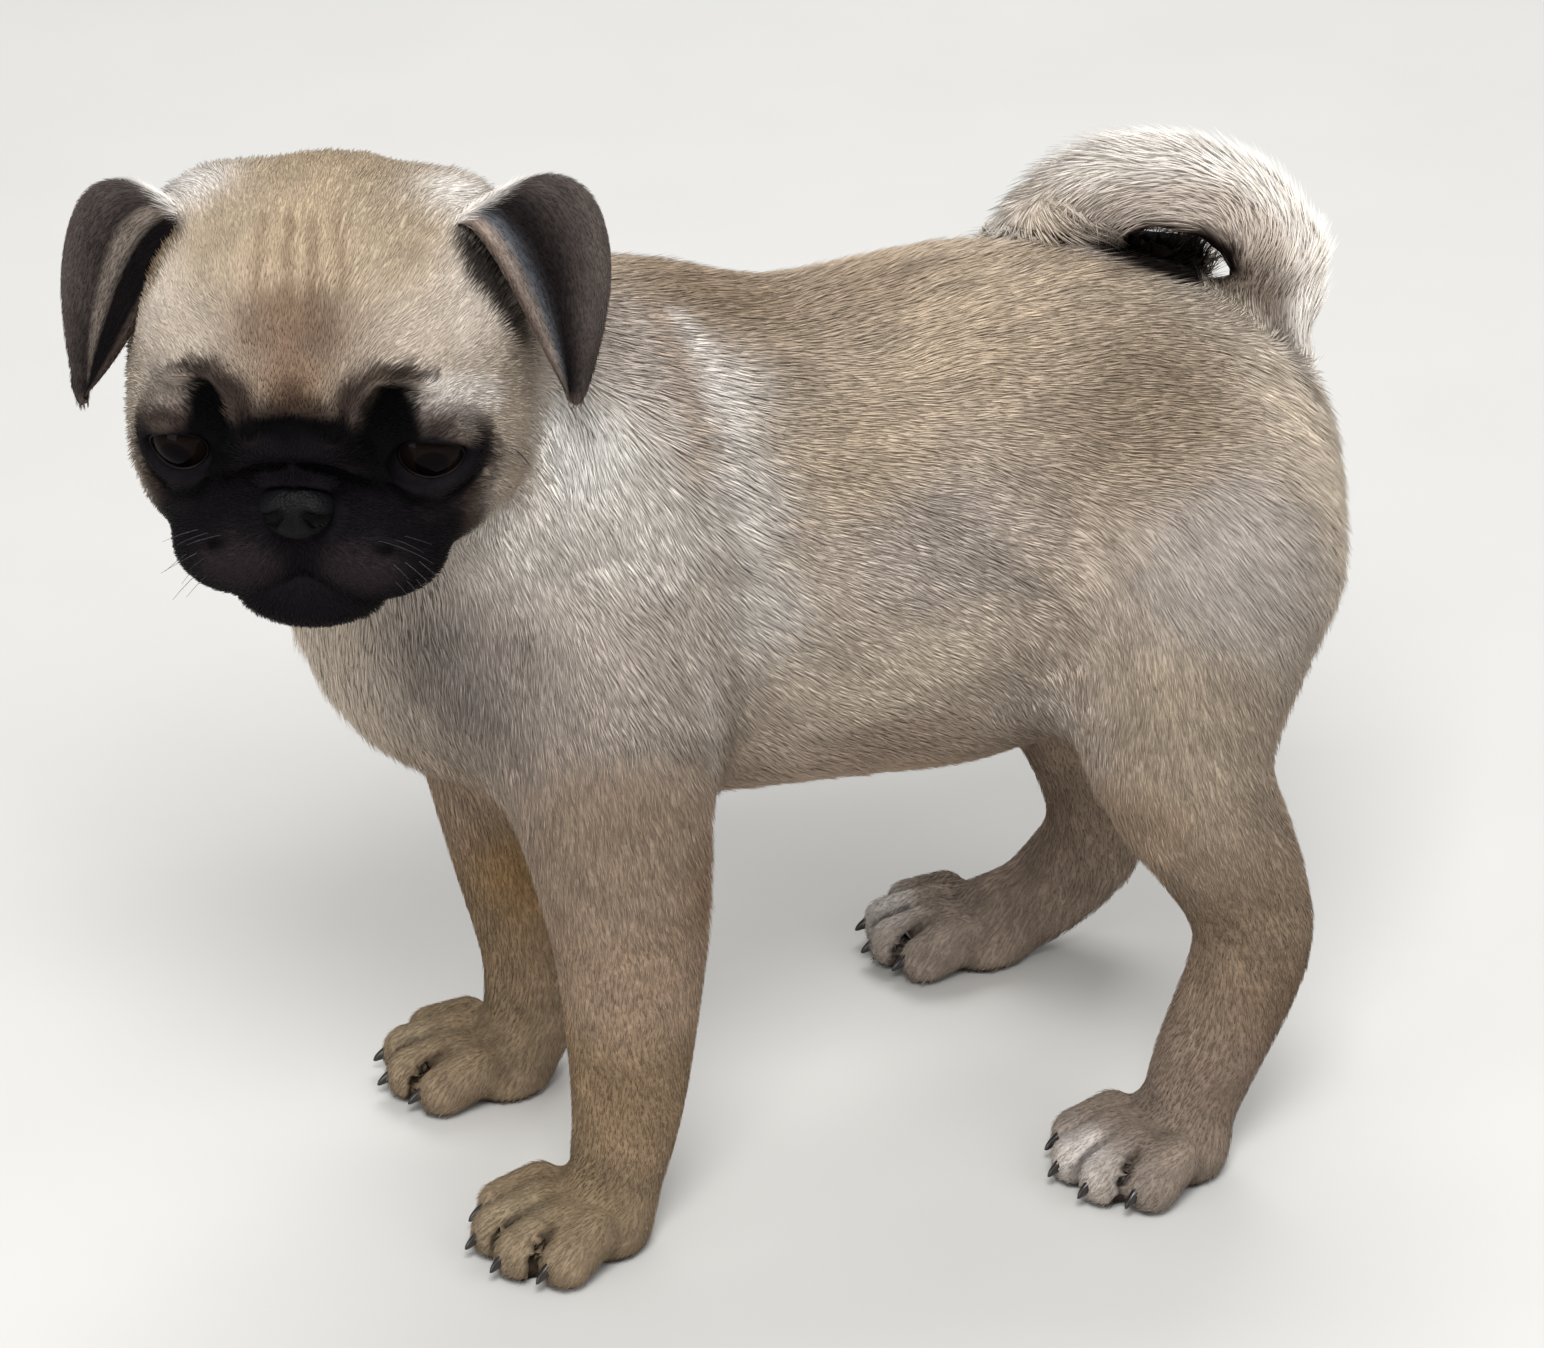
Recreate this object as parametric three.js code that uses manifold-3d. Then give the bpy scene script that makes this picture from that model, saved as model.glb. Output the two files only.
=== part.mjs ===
// A pug puppy of about twelve weeks, standing, head turned to its left: a still, life-size model.
// Millimetres, +Z up, floor at z = 0. The puppy faces -Y and its left side is +X.
// The body is one smooth flesh form, blended from named masses, then parted by thin cuts into nodes.
import * as THREE from "three";
import { mergeVertices } from "three/addons/utils/BufferGeometryUtils.js";
import Module from "manifold-3d";

const wasm = await Module();
wasm.setup();

// Driving dimensions
const BACK_HEIGHT = 215; // floor to the top of the back
const BELLY_HEIGHT = 90; // floor to the belly
const TORSO_WIDTH = 108;
const RUMP_Y = 139; // rearmost point of the rump
const CHEST_Y = -112; // foremost point of the chest
const FORE_STANCE = 36; // each fore paw from the middle plane
const HIND_STANCE = 57;
const HEAD_WIDTH = 87;
const HEAD_TOP = 38; // above the middle of the head
const EYE_RADIUS = 9;
const GAP = 0.3; // left between touching nodes
const HALF_GAP = GAP / 2;

const deg = THREE.MathUtils.degToRad;
const vec = (x, y, z) => new THREE.Vector3(x, y, z);

// Distance functions: negative inside, in millimetres. A form is a function of (x, y, z).
function ellipsoid(centre, radii, turn = null) {
  const back = turn ? new THREE.Matrix3().setFromMatrix4(turn).transpose().elements : null;
  const [rx, ry, rz] = radii;
  return (x, y, z) => {
    let dx = x - centre[0];
    let dy = y - centre[1];
    let dz = z - centre[2];
    if (back) {
      const tx = back[0] * dx + back[3] * dy + back[6] * dz;
      const ty = back[1] * dx + back[4] * dy + back[7] * dz;
      dz = back[2] * dx + back[5] * dy + back[8] * dz;
      dx = tx;
      dy = ty;
    }
    const near = Math.hypot(dx / rx, dy / ry, dz / rz);
    const steep = Math.hypot(dx / (rx * rx), dy / (ry * ry), dz / (rz * rz));
    return steep < 1e-9 ? -Math.min(rx, ry, rz) : (near * (near - 1)) / steep;
  };
}

// A limb from a to b, with a round end of its own radius at each.
function limb(a, b, ra, rb) {
  const bx = b[0] - a[0];
  const by = b[1] - a[1];
  const bz = b[2] - a[2];
  const long2 = bx * bx + by * by + bz * bz;
  const taper = ra - rb;
  const slope2 = long2 - taper * taper;
  return (x, y, z) => {
    const px = x - a[0];
    const py = y - a[1];
    const pz = z - a[2];
    const along = px * bx + py * by + pz * bz;
    const past = along - long2;
    const side2 =
      (px * long2 - bx * along) ** 2 + (py * long2 - by * along) ** 2 + (pz * long2 - bz * along) ** 2;
    const along2 = along * along * long2;
    const past2 = past * past * long2;
    const k = Math.sign(taper) * taper * taper * side2;
    if (Math.sign(past) * slope2 * past2 > k) return Math.sqrt(side2 + past2) / long2 - rb;
    if (Math.sign(along) * slope2 * along2 < k) return Math.sqrt(side2 + along2) / long2 - ra;
    return (Math.sqrt((side2 * slope2) / long2) + along * taper) / long2 - ra;
  };
}

// Limbs through several points: each row is [x, y, z, radius].
function chain(rows) {
  const links = rows.slice(1).map((row, i) => limb(rows[i], row, rows[i][3], row[3]));
  return (x, y, z) => {
    let d = Infinity;
    for (const link of links) d = Math.min(d, link(x, y, z));
    return d;
  };
}

function meet(a, b, blend) {
  const h = Math.max(blend - Math.abs(a - b), 0) / blend;
  return Math.min(a, b) - (h * h * blend) / 4;
}

const carve = (a, b, blend) => -meet(-a, b, blend);

// A body is a list of [form, blend]: each form melts into those before it over its blend.
function body(parts) {
  return (x, y, z) => {
    let d = parts[0][0](x, y, z);
    for (let i = 1; i < parts.length; i++) d = meet(d, parts[i][0](x, y, z), parts[i][1]);
    return d;
  };
}

// Torso
const TORSO_MID = (BACK_HEIGHT + BELLY_HEIGHT) / 2;
const torsoForms = [
  [ellipsoid([0, -24, TORSO_MID + 3], [TORSO_WIDTH / 2 - 1, 64, 58]), 0],
  [ellipsoid([0, 36, TORSO_MID - 1], [TORSO_WIDTH / 2 - 3, 66, 59]), 24],
  [ellipsoid([0, RUMP_Y - 48, TORSO_MID + 1], [50, 47, 51]), 24],
  [ellipsoid([0, -40, BACK_HEIGHT - 32], [36, 52, 30]), 26],
  [ellipsoid([0, 48, BACK_HEIGHT - 36], [38, 52, 33]), 24],
  [ellipsoid([0, CHEST_Y + 36, 148], [38, 36, 38]), 24],
];

const torsoForm = body(torsoForms);

// Neck and throat, bent to the left with the head
const neckForms = [
  [limb([0, -54, 180], [8, -88, 212], 43, 35), 26],
  [ellipsoid([5, -86, 172], [35, 29, 32]), 24],
];

// Legs: joints as [x, y, z, radius] from the body down
const legs = {
  fore_left: {
    joints: [[38, -60, 146, 27], [44, -56, 112, 22], [43, -53, 86, 18.5], [41, -52, 62, 15.8], [40, -52, 34, 13.5], [40, -52, 16, 12]],
    paw: [FORE_STANCE + 4, -64],
    toeOut: 12,
  },
  fore_right: {
    joints: [[-37, -62, 146, 26], [-41, -60, 108, 20], [-41, -57, 82, 17], [-40, -54, 60, 15], [-38, -50, 34, 13], [-37, -51, 16, 12]],
    paw: [-FORE_STANCE, -62],
    toeOut: -12,
  },
  hind_left: {
    joints: [[38, 88, 150, 34], [56, 77, 112, 22], [58, 93, 76, 15.5], [58, 97, 55, 14], [57, 87, 27, 12.5], [57, 82, 12, 11]],
    paw: [HIND_STANCE + 1, 75],
    toeOut: 14,
  },
  hind_right: {
    joints: [[-38, 88, 150, 34], [-52, 73, 106, 21], [-47, 94, 66, 13.5], [-45, 104, 36, 13.5], [-47, 91, 17, 12], [-50, 80, 11, 10.5]],
    paw: [-HIND_STANCE + 4, 72],
    toeOut: -14,
  },
};

// Each paw, in a frame at its middle on the floor, toes towards -Y
const TOES = [
  { x: -15, knuckle: -5, tip: -13.5, radius: 6.1 },
  { x: -5.4, knuckle: -9, tip: -20, radius: 6.6 },
  { x: 5.4, knuckle: -9, tip: -20, radius: 6.6 },
  { x: 15, knuckle: -5, tip: -13.5, radius: 6.1 },
];
const KNUCKLE_HEIGHT = 9;
const TOE_TIP_HEIGHT = 5.4;

function pawFrame([px, py], toeOut) {
  const turn = deg(toeOut);
  return (x, y, z) => [
    px + x * Math.cos(turn) - y * Math.sin(turn),
    py + x * Math.sin(turn) + y * Math.cos(turn),
    z,
  ];
}

function pawForms(paw, toeOut) {
  const place = pawFrame(paw, toeOut);
  const turned = new THREE.Matrix4().makeRotationZ(deg(toeOut));
  const forms = [[ellipsoid(place(0, 4, 6), [16.5, 15, 10.5], turned), 8]];
  for (const toe of TOES)
    forms.push([
      limb(place(toe.x * 0.8, toe.knuckle, KNUCKLE_HEIGHT), place(toe.x, toe.tip, TOE_TIP_HEIGHT), toe.radius, toe.radius - 0.3),
      2.5,
    ]);
  return forms;
}

const legForms = Object.values(legs).flatMap((leg) => [
  [chain(leg.joints), 16],
  ...pawForms(leg.paw, leg.toeOut),
]);

// Head, in its own frame: origin in the middle of the skull, face towards -Y
const HEAD_CENTRE = vec(25, -113, 231.4);
const HEAD_YAW = 63.5;
const HEAD_PITCH = 2;
const HEAD_ROLL = -0.6;
const headTurn = new THREE.Matrix4()
  .makeRotationZ(deg(HEAD_YAW))
  .multiply(new THREE.Matrix4().makeRotationX(deg(HEAD_PITCH)))
  .multiply(new THREE.Matrix4().makeRotationY(deg(HEAD_ROLL)));
const headPlace = headTurn.clone().setPosition(HEAD_CENTRE);
const bothSides = (make) => [make(1), make(-1)];

const EYE = [25.3, -25.5, -9.5];
const GAZE = { out: 14, down: 20 }; // degrees
const LID = 2.2; // thickness of a lid over the eye
const NOSE = [0, -42, -18];

const skullForms = [
  [ellipsoid([0, 4, HEAD_TOP - 40], [HEAD_WIDTH / 2, 41.5, 40]), 0],
  [ellipsoid([0, -12, 8], [31, 27.5, 27]), 10],
  ...bothSides((s) => [ellipsoid([s * 25, 8, 17], [14.5, 20, 16]), 10]),
  ...bothSides((s) => [ellipsoid([s * 23, -8, -21], [18.5, 24, 20]), 12]),
  [ellipsoid([0, -8, -34], [25, 24, 12]), 10],
];
const muzzleForms = [
  [ellipsoid([0, -21, -27], [30, 22, 15]), 7],
  ...bothSides((s) => [ellipsoid([s * 13.5, -31.5, -32.5], [16, 14, 11.5]), 4]),
  [ellipsoid([0, -31.5, -42.5], [17, 12.5, 8.5]), 2],
];
const lidForms = bothSides((s) => [
  ellipsoid([s * EYE[0], EYE[1] + 0.3, EYE[2]], [EYE_RADIUS + LID + 0.5, EYE_RADIUS + LID, EYE_RADIUS + LID]),
  3.5,
]);

// Folds of the face: rows of [x, y, z, radius]. The roll arches over the nose from cheek to cheek.
const noseRoll = (s) => [[0, -42.5, -3, 4.2], [s * 9, -41.5, -4.5, 4.4], [s * 17, -37, -10, 4.4], [s * 22.5, -32.5, -18, 3.8], [s * 27, -27, -26, 3]];
const noseRidge = (s) => [[0, -45, -10.3, 2], [s * 7, -43.3, -12.6, 1.8]];
const browFold = (s) => [[s * 22, -31.5, 12, 2], [s * 18, -35.8, 10, 2.4], [s * 14.5, -38.8, 5.5, 2.8], [s * 12.5, -40, -1.5, 3]];
const lipFold = (s) => [[s * 26, -24, -27, 4], [s * 21, -31.5, -31.5, 5], [s * 12, -37.5, -32.5, 5]];
const foldForms = [
  ...bothSides((s) => [chain(noseRoll(s)), 2.5]),
  ...bothSides((s) => [chain(noseRidge(s)), 1.5]),
  ...bothSides((s) => [chain(browFold(s)), 4]),
  ...bothSides((s) => [chain(lipFold(s)), 4]),
];

// Creases cut into the face: under the roll, inside and outside the brow folds, down the lip, along the mouth
const rollCrease = (s) => [[0, -48, -7.8, 1.5], [s * 8, -46.8, -9.5, 1.6], [s * 14.5, -42.8, -15.5, 1.4], [s * 17.5, -39.8, -20, 0.8]];
const innerCrease = (s) => [[s * 19, -38.5, 8, 0.8], [s * 18, -39.5, 2, 1.3], [s * 15, -41.5, -4, 1.3], [s * 11.5, -44, -6.5, 1]];
const outerCrease = (s) => [[s * 24, -36.5, 12, 0.6], [s * 18.5, -40.5, 13.5, 0.8], [s * 12, -42.5, 9, 0.9], [s * 9, -43.5, 1, 1]];
const lipCleft = () => [[0, -48, -24, 1], [0, -48, -39.5, 1.2]];
const mouthLine = (s) => [[0, -47.5, -40.5, 1.2], [s * 12, -45, -42.5, 1.3], [s * 22, -37.5, -43.5, 1.2], [s * 30.5, -25, -40, 0.8]];
const browWrinkle = (s) => [[s * 5, -40.5, 27, 0.4], [s * 7, -41.5, 12, 0.8]];
const creaseForms = [
  ...bothSides((s) => [chain(rollCrease(s)), 2]),
  ...bothSides((s) => [chain(innerCrease(s)), 1.8]),
  ...bothSides((s) => [chain(outerCrease(s)), 1.8]),
  [chain(lipCleft()), 1.6],
  ...bothSides((s) => [chain(mouthLine(s)), 1.6]),
  ...bothSides((s) => [chain(browWrinkle(s)), 2.5]),
];

const eyeAt = (s) => vec(s * EYE[0], EYE[1], EYE[2]);
const gazeTurn = (s) =>
  new THREE.Matrix4()
    .makeRotationZ(deg(s * GAZE.out))
    .multiply(new THREE.Matrix4().makeRotationX(deg(GAZE.down)))
    .multiply(new THREE.Matrix4().makeRotationY(deg(s * -6)));
const lidOpening = (s) => {
  const turn = gazeTurn(s);
  const centre = vec(0, -(EYE_RADIUS + 1), 0.4).applyMatrix4(turn).add(eyeAt(s));
  return ellipsoid(centre.toArray(), [7.4, 5, 3.9], turn);
};

const headBody = body([...skullForms, ...muzzleForms, ...lidForms, ...foldForms]);
const openings = bothSides(lidOpening);
const headLocal = (x, y, z) => {
  let d = headBody(x, y, z);
  if (y > -18 || d > 8) return d;
  for (const [form, blend] of creaseForms) d = carve(d, form(x, y, z), blend);
  for (const form of openings) d = carve(d, form(x, y, z), 0.8);
  return d;
};
const toHead = headPlace.clone().invert().elements;
const inHead = (x, y, z) => [
  toHead[0] * x + toHead[4] * y + toHead[8] * z + toHead[12],
  toHead[1] * x + toHead[5] * y + toHead[9] * z + toHead[13],
  toHead[2] * x + toHead[6] * y + toHead[10] * z + toHead[14],
];
const headForm = (x, y, z) => headLocal(...inHead(x, y, z));

// Nose leather, with a nostril opening to each side
const noseLump = body([
  [ellipsoid(NOSE, [7.6, 5.6, 5.6]), 0],
  ...bothSides((s) => [ellipsoid([s * 4.6, NOSE[1] - 1.5, NOSE[2] - 0.6], [3.4, 4.4, 3.8]), 2]),
]);
const nostrils = [
  ...bothSides((s) => [ellipsoid([s * 3.7, NOSE[1] - 6, NOSE[2] - 0.5], [1.7, 3.2, 1.9]), 0.7]),
  ...bothSides((s) => [limb([s * 4.2, NOSE[1] - 5.6, NOSE[2] - 1.5], [s * 7.6, NOSE[1] - 3.8, NOSE[2] - 2.8], 0.9, 0.6), 0.7]),
  [limb([0, NOSE[1] - 6.6, NOSE[2] - 1], [0, NOSE[1] - 5.6, NOSE[2] - 6], 0.4, 0.5), 0.8],
];
const noseForm = (x, y, z) => {
  let d = noseLump(x, y, z);
  for (const [form, blend] of nostrils) d = carve(d, form(x, y, z), blend);
  return d;
};

// Tail: curled up and over, its end resting to the right of the back
const tailRows = [
  [0, 116, 178, 13],
  [0, 124, 194, 11.5],
  [0, 126, 205, 10.5],
  [-2, 121, 216, 9.5],
  [-4, 111, 224, 9.5],
  [-7, 96, 228, 10],
  [-11, 82, 226, 10],
  [-15, 72, 219, 10],
  [-19, 65, 211, 8.5],
];

const TAIL_REST = 1; // clear of the back where the tail comes down to it

const flesh = body([
  ...torsoForms,
  ...neckForms,
  ...legForms,
  [chain(tailRows.slice(0, 3)), 9],
  [headForm, 10],
]);
const wholeTail = chain(tailRows);
const tailForm = (x, y, z) => {
  const d = wholeTail(x, y, z);
  return y < 115 ? carve(d, torsoForm(x, y, z) - TAIL_REST, 0.5) : d;
};

// Closed surface of a form inside a box, by tetrahedra: every crossed edge gives one vertex.
const CUBE_TETS = [[0, 5, 1, 7], [0, 1, 3, 7], [0, 3, 2, 7], [0, 2, 6, 7], [0, 6, 4, 7], [0, 4, 5, 7]];

// Triangles of a tetrahedron for each set of its corners that is inside, as pairs of corners
const TET_CASES = [...Array(16).keys()].map((mask) => {
  const isIn = (c) => (mask >> c) & 1;
  const order = [0, 1, 2, 3].sort((p, q) => isIn(q) - isIn(p));
  let swaps = 0;
  for (let i = 0; i < 4; i++) for (let j = i + 1; j < 4; j++) if (order[i] > order[j]) swaps++;
  const [a, b, c, d] = order;
  const turned = (face) => (swaps % 2 ? [face[0], face[2], face[1]] : face);
  const count = [0, 1, 2, 3].filter(isIn).length;
  if (count === 1) return [turned([[a, b], [a, c], [a, d]])];
  if (count === 2) return [turned([[a, c], [a, d], [b, d]]), turned([[a, c], [b, d], [b, c]])];
  if (count === 3) return [turned([[a, d], [b, d], [c, d]])];
  return [];
});

function surface(form, low, high, cell) {
  const n = [0, 1, 2].map((k) => Math.ceil((high[k] - low[k]) / cell) + 1);
  const at = (i, j, k) => i + n[0] * (j + n[1] * k);
  const value = new Float64Array(n[0] * n[1] * n[2]);
  const atEdge = (i, top) => i === 0 || i === top - 1;
  for (let k = 0; k < n[2]; k++)
    for (let j = 0; j < n[1]; j++)
      for (let i = 0; i < n[0]; i++) {
        const outside = atEdge(i, n[0]) || atEdge(j, n[1]) || atEdge(k, n[2]);
        const d = form(low[0] + i * cell, low[1] + j * cell, low[2] + k * cell);
        value[at(i, j, k)] = outside ? Math.max(d, cell / 4) : d || 1e-6;
      }
  const corner = [0, 1, 2, 3, 4, 5, 6, 7].map((c) => at(c & 1, (c >> 1) & 1, c >> 2));
  const point = (g) => [g % n[0], Math.floor(g / n[0]) % n[1], Math.floor(g / (n[0] * n[1]))];
  const vertices = [];
  const faces = [];
  const made = new Map();
  const crossing = (a, b) => {
    const key = Math.min(a, b) * value.length + Math.max(a, b);
    if (!made.has(key)) {
      const t = value[a] / (value[a] - value[b]);
      const [pa, pb] = [point(a), point(b)];
      made.set(key, vertices.length);
      vertices.push([0, 1, 2].map((m) => low[m] + cell * (pa[m] + t * (pb[m] - pa[m]))));
    }
    return made.get(key);
  };
  for (let k = 0; k < n[2] - 1; k++)
    for (let j = 0; j < n[1] - 1; j++)
      for (let i = 0; i < n[0] - 1; i++) {
        const base = at(i, j, k);
        let inCount = 0;
        for (let c = 0; c < 8; c++) if (value[base + corner[c]] < 0) inCount++;
        if (inCount === 0 || inCount === 8) continue;
        for (const tet of CUBE_TETS) {
          let mask = 0;
          for (let c = 0; c < 4; c++) if (value[base + corner[tet[c]]] < 0) mask |= 1 << c;
          for (const face of TET_CASES[mask])
            faces.push(face.map(([p, q]) => crossing(base + corner[tet[p]], base + corner[tet[q]])));
        }
      }
  return { vertices, faces };
}

// Fewer triangles for the same shape: the edge that costs the form least closes first.
// Cost is the quadric error, weighed by the care due at that place.
function simplified({ vertices, faces }, target, care = () => 1) {
  const quadric = vertices.map(() => new Float64Array(10));
  const around = vertices.map(() => new Set());
  const stamp = new Int32Array(vertices.length);
  const tris = faces.map((f) => [...f]);
  const normalOf = (a, b, c) => {
    const [ux, uy, uz] = [b[0] - a[0], b[1] - a[1], b[2] - a[2]];
    const [vx, vy, vz] = [c[0] - a[0], c[1] - a[1], c[2] - a[2]];
    return [uy * vz - uz * vy, uz * vx - ux * vz, ux * vy - uy * vx];
  };
  tris.forEach((tri, t) => {
    const [a, b, c] = tri.map((v) => vertices[v]);
    const n = normalOf(a, b, c);
    const size = Math.hypot(...n);
    for (const v of tri) around[v].add(t);
    if (size < 1e-12) return;
    const p = [n[0] / size, n[1] / size, n[2] / size, 0];
    p[3] = -(p[0] * a[0] + p[1] * a[1] + p[2] * a[2]);
    const weight = (size / 2) * care(...a);
    for (const v of tri)
      for (let i = 0, k = 0; i < 4; i++) for (let j = i; j < 4; j++, k++) quadric[v][k] += weight * p[i] * p[j];
  });
  const error = (q, x, y, z) =>
    q[0] * x * x + 2 * q[1] * x * y + 2 * q[2] * x * z + 2 * q[3] * x + q[4] * y * y +
    2 * q[5] * y * z + 2 * q[6] * y + q[7] * z * z + 2 * q[8] * z + q[9];
  const heap = [];
  const swap = (i, j) => ([heap[i], heap[j]] = [heap[j], heap[i]]);
  const push = (item) => {
    heap.push(item);
    for (let i = heap.length - 1; i > 0 && heap[(i - 1) >> 1].cost > heap[i].cost; i = (i - 1) >> 1)
      swap(i, (i - 1) >> 1);
  };
  const pop = () => {
    swap(0, heap.length - 1);
    const item = heap.pop();
    for (let i = 0, least = 0; ; i = least) {
      for (const child of [2 * i + 1, 2 * i + 2])
        if (child < heap.length && heap[child].cost < heap[least].cost) least = child;
      if (least === i) break;
      swap(i, least);
    }
    return item;
  };
  const offer = (a, b) => {
    const q = quadric[a].map((value, k) => value + quadric[b][k]);
    const [pa, pb] = [vertices[a], vertices[b]];
    const choices = [pa, pb, pa.map((value, k) => (value + pb[k]) / 2)];
    const det =
      q[0] * (q[4] * q[7] - q[5] * q[5]) - q[1] * (q[1] * q[7] - q[5] * q[2]) + q[2] * (q[1] * q[5] - q[4] * q[2]);
    if (Math.abs(det) > 1e-7) {
      const [r0, r1, r2] = [-q[3], -q[6], -q[8]];
      const best = [
        (r0 * (q[4] * q[7] - q[5] * q[5]) - q[1] * (r1 * q[7] - q[5] * r2) + q[2] * (r1 * q[5] - q[4] * r2)) / det,
        (q[0] * (r1 * q[7] - r2 * q[5]) - r0 * (q[1] * q[7] - q[5] * q[2]) + q[2] * (q[1] * r2 - r1 * q[2])) / det,
        (q[0] * (q[4] * r2 - q[5] * r1) - q[1] * (q[1] * r2 - q[2] * r1) + r0 * (q[1] * q[5] - q[4] * q[2])) / det,
      ];
      const far = Math.hypot(best[0] - pa[0], best[1] - pa[1], best[2] - pa[2]);
      if (far < 2 * Math.hypot(pa[0] - pb[0], pa[1] - pb[1], pa[2] - pb[2])) choices.push(best);
    }
    let [cost, at] = [Infinity, pa];
    for (const p of choices) {
      const e = error(q, ...p);
      if (e < cost) [cost, at] = [e, p];
    }
    const length2 = (pa[0] - pb[0]) ** 2 + (pa[1] - pb[1]) ** 2 + (pa[2] - pb[2]) ** 2;
    push({ cost: cost + 1e-5 * length2, a, b, at, stamps: [stamp[a], stamp[b]] });
  };
  const neighbours = (v) => {
    const near = new Set();
    for (const t of around[v]) for (const w of tris[t]) if (w !== v) near.add(w);
    return near;
  };
  const turnsOver = (v, other, at) => {
    for (const t of around[v]) {
      if (tris[t].includes(other)) continue;
      const before = normalOf(...tris[t].map((w) => vertices[w]));
      const after = normalOf(...tris[t].map((w) => (w === v ? at : vertices[w])));
      const dot = before[0] * after[0] + before[1] * after[1] + before[2] * after[2];
      if (dot < 0.3 * Math.hypot(...before) * Math.hypot(...after) || Math.hypot(...after) < 1e-4) return true;
    }
    return false;
  };
  vertices.forEach((_, v) => {
    for (const w of neighbours(v)) if (v < w) offer(v, w);
  });
  let left = tris.length;
  while (left > target && heap.length) {
    const { a, b, at, stamps } = pop();
    if (stamps[0] !== stamp[a] || stamps[1] !== stamp[b]) continue;
    const nearA = neighbours(a);
    if ([...neighbours(b)].filter((w) => nearA.has(w)).length !== 2) continue;
    if (turnsOver(a, b, at) || turnsOver(b, a, at)) continue;
    for (const t of [...around[b]]) {
      if (tris[t].includes(a)) {
        for (const w of tris[t]) around[w].delete(t);
        tris[t] = null;
        left -= 1;
      } else {
        tris[t][tris[t].indexOf(b)] = a;
        around[a].add(t);
      }
    }
    around[b].clear();
    stamp[b] = -1;
    vertices[a] = at;
    quadric[a] = quadric[a].map((value, k) => value + quadric[b][k]);
    stamp[a] += 1;
    for (const w of neighbours(a)) offer(a, w);
  }
  return { vertices, faces: tris.filter(Boolean) };
}

// Closed meshes as solids, for joining and cutting
function solid(positions, triangles) {
  const mesh = new wasm.Mesh({
    numProp: 3,
    vertProperties: Float32Array.from(positions),
    triVerts: Uint32Array.from(triangles),
  });
  mesh.merge();
  return new wasm.Manifold(mesh);
}

function fromForm(form, low, high, cell, target, care) {
  const { vertices, faces } = simplified(surface(form, low, high, cell), target, care);
  return solid(vertices.flat(), faces.flat());
}

function fromGeometry(geometry, place = new THREE.Matrix4()) {
  const bare = new THREE.BufferGeometry().setIndex(geometry.index);
  bare.setAttribute("position", geometry.getAttribute("position"));
  const joined = mergeVertices(bare, 1e-4).applyMatrix4(place);
  const index = [...joined.index.array];
  const whole = [];
  for (let i = 0; i < index.length; i += 3)
    if (new Set(index.slice(i, i + 3)).size === 3) whole.push(...index.slice(i, i + 3));
  return solid(joined.getAttribute("position").array, whole);
}

// The half of space that lies past a plane, as a large block; short is how far the plane is moved on.
function beyond(point, normal, short = 0) {
  const size = 600;
  const towards = new THREE.Vector3(...normal).normalize();
  const turn = new THREE.Quaternion().setFromUnitVectors(vec(0, 0, 1), towards);
  const centre = new THREE.Vector3(...point).addScaledVector(towards, size / 2 + short);
  const place = new THREE.Matrix4().compose(centre, turn, vec(1, 1, 1));
  return fromGeometry(new THREE.BoxGeometry(size, size, size), place);
}

// Both sides of a thin cut through a solid
function parted(whole, point, normal) {
  const opposite = normal.map((n) => -n);
  return [whole.intersect(beyond(point, normal, HALF_GAP)), whole.intersect(beyond(point, opposite, HALF_GAP))];
}

// Space inside several such planes; short shrinks it, or lets it grow when negative.
const inside = (planes, short) =>
  planes.map(([point, normal]) => beyond(point, normal, short)).reduce((a, b) => a.intersect(b));

const group = new THREE.Group();
group.name = "pug_puppy";
const finish = (name, color, roughness) => {
  const material = new THREE.MeshStandardMaterial({ color, roughness });
  material.name = name;
  return material;
};
const fawnCoat = finish("fawn_coat", "#b59d83", 0.95);
const blackCoat = finish("black_coat", "#2b2725", 0.9);
const paleCoat = finish("pale_coat", "#d3c5b1", 0.95);
const eyeGlaze = finish("eye_glaze", "#1c120c", 0.15);
const noseLeather = finish("nose_leather", "#151414", 0.5);
const clawHorn = finish("claw_horn", "#171514", 0.4);

// Each node keeps its largest closed surface, without any scrap that a cut leaves.
function add(name, whole, material) {
  const largest = whole.decompose().reduce((a, b) => (b.volume() > a.volume() ? b : a));
  const { vertProperties, triVerts, numProp } = largest.getMesh();
  const positions = new Float32Array((vertProperties.length / numProp) * 3);
  for (let v = 0; v < positions.length / 3; v++)
    for (let k = 0; k < 3; k++) positions[v * 3 + k] = vertProperties[v * numProp + k];
  const geometry = new THREE.BufferGeometry();
  geometry.setAttribute("position", new THREE.BufferAttribute(positions, 3));
  geometry.setIndex([...triVerts]);
  geometry.computeVertexNormals();
  const mesh = new THREE.Mesh(geometry, material);
  mesh.name = name;
  group.add(mesh);
}

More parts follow.
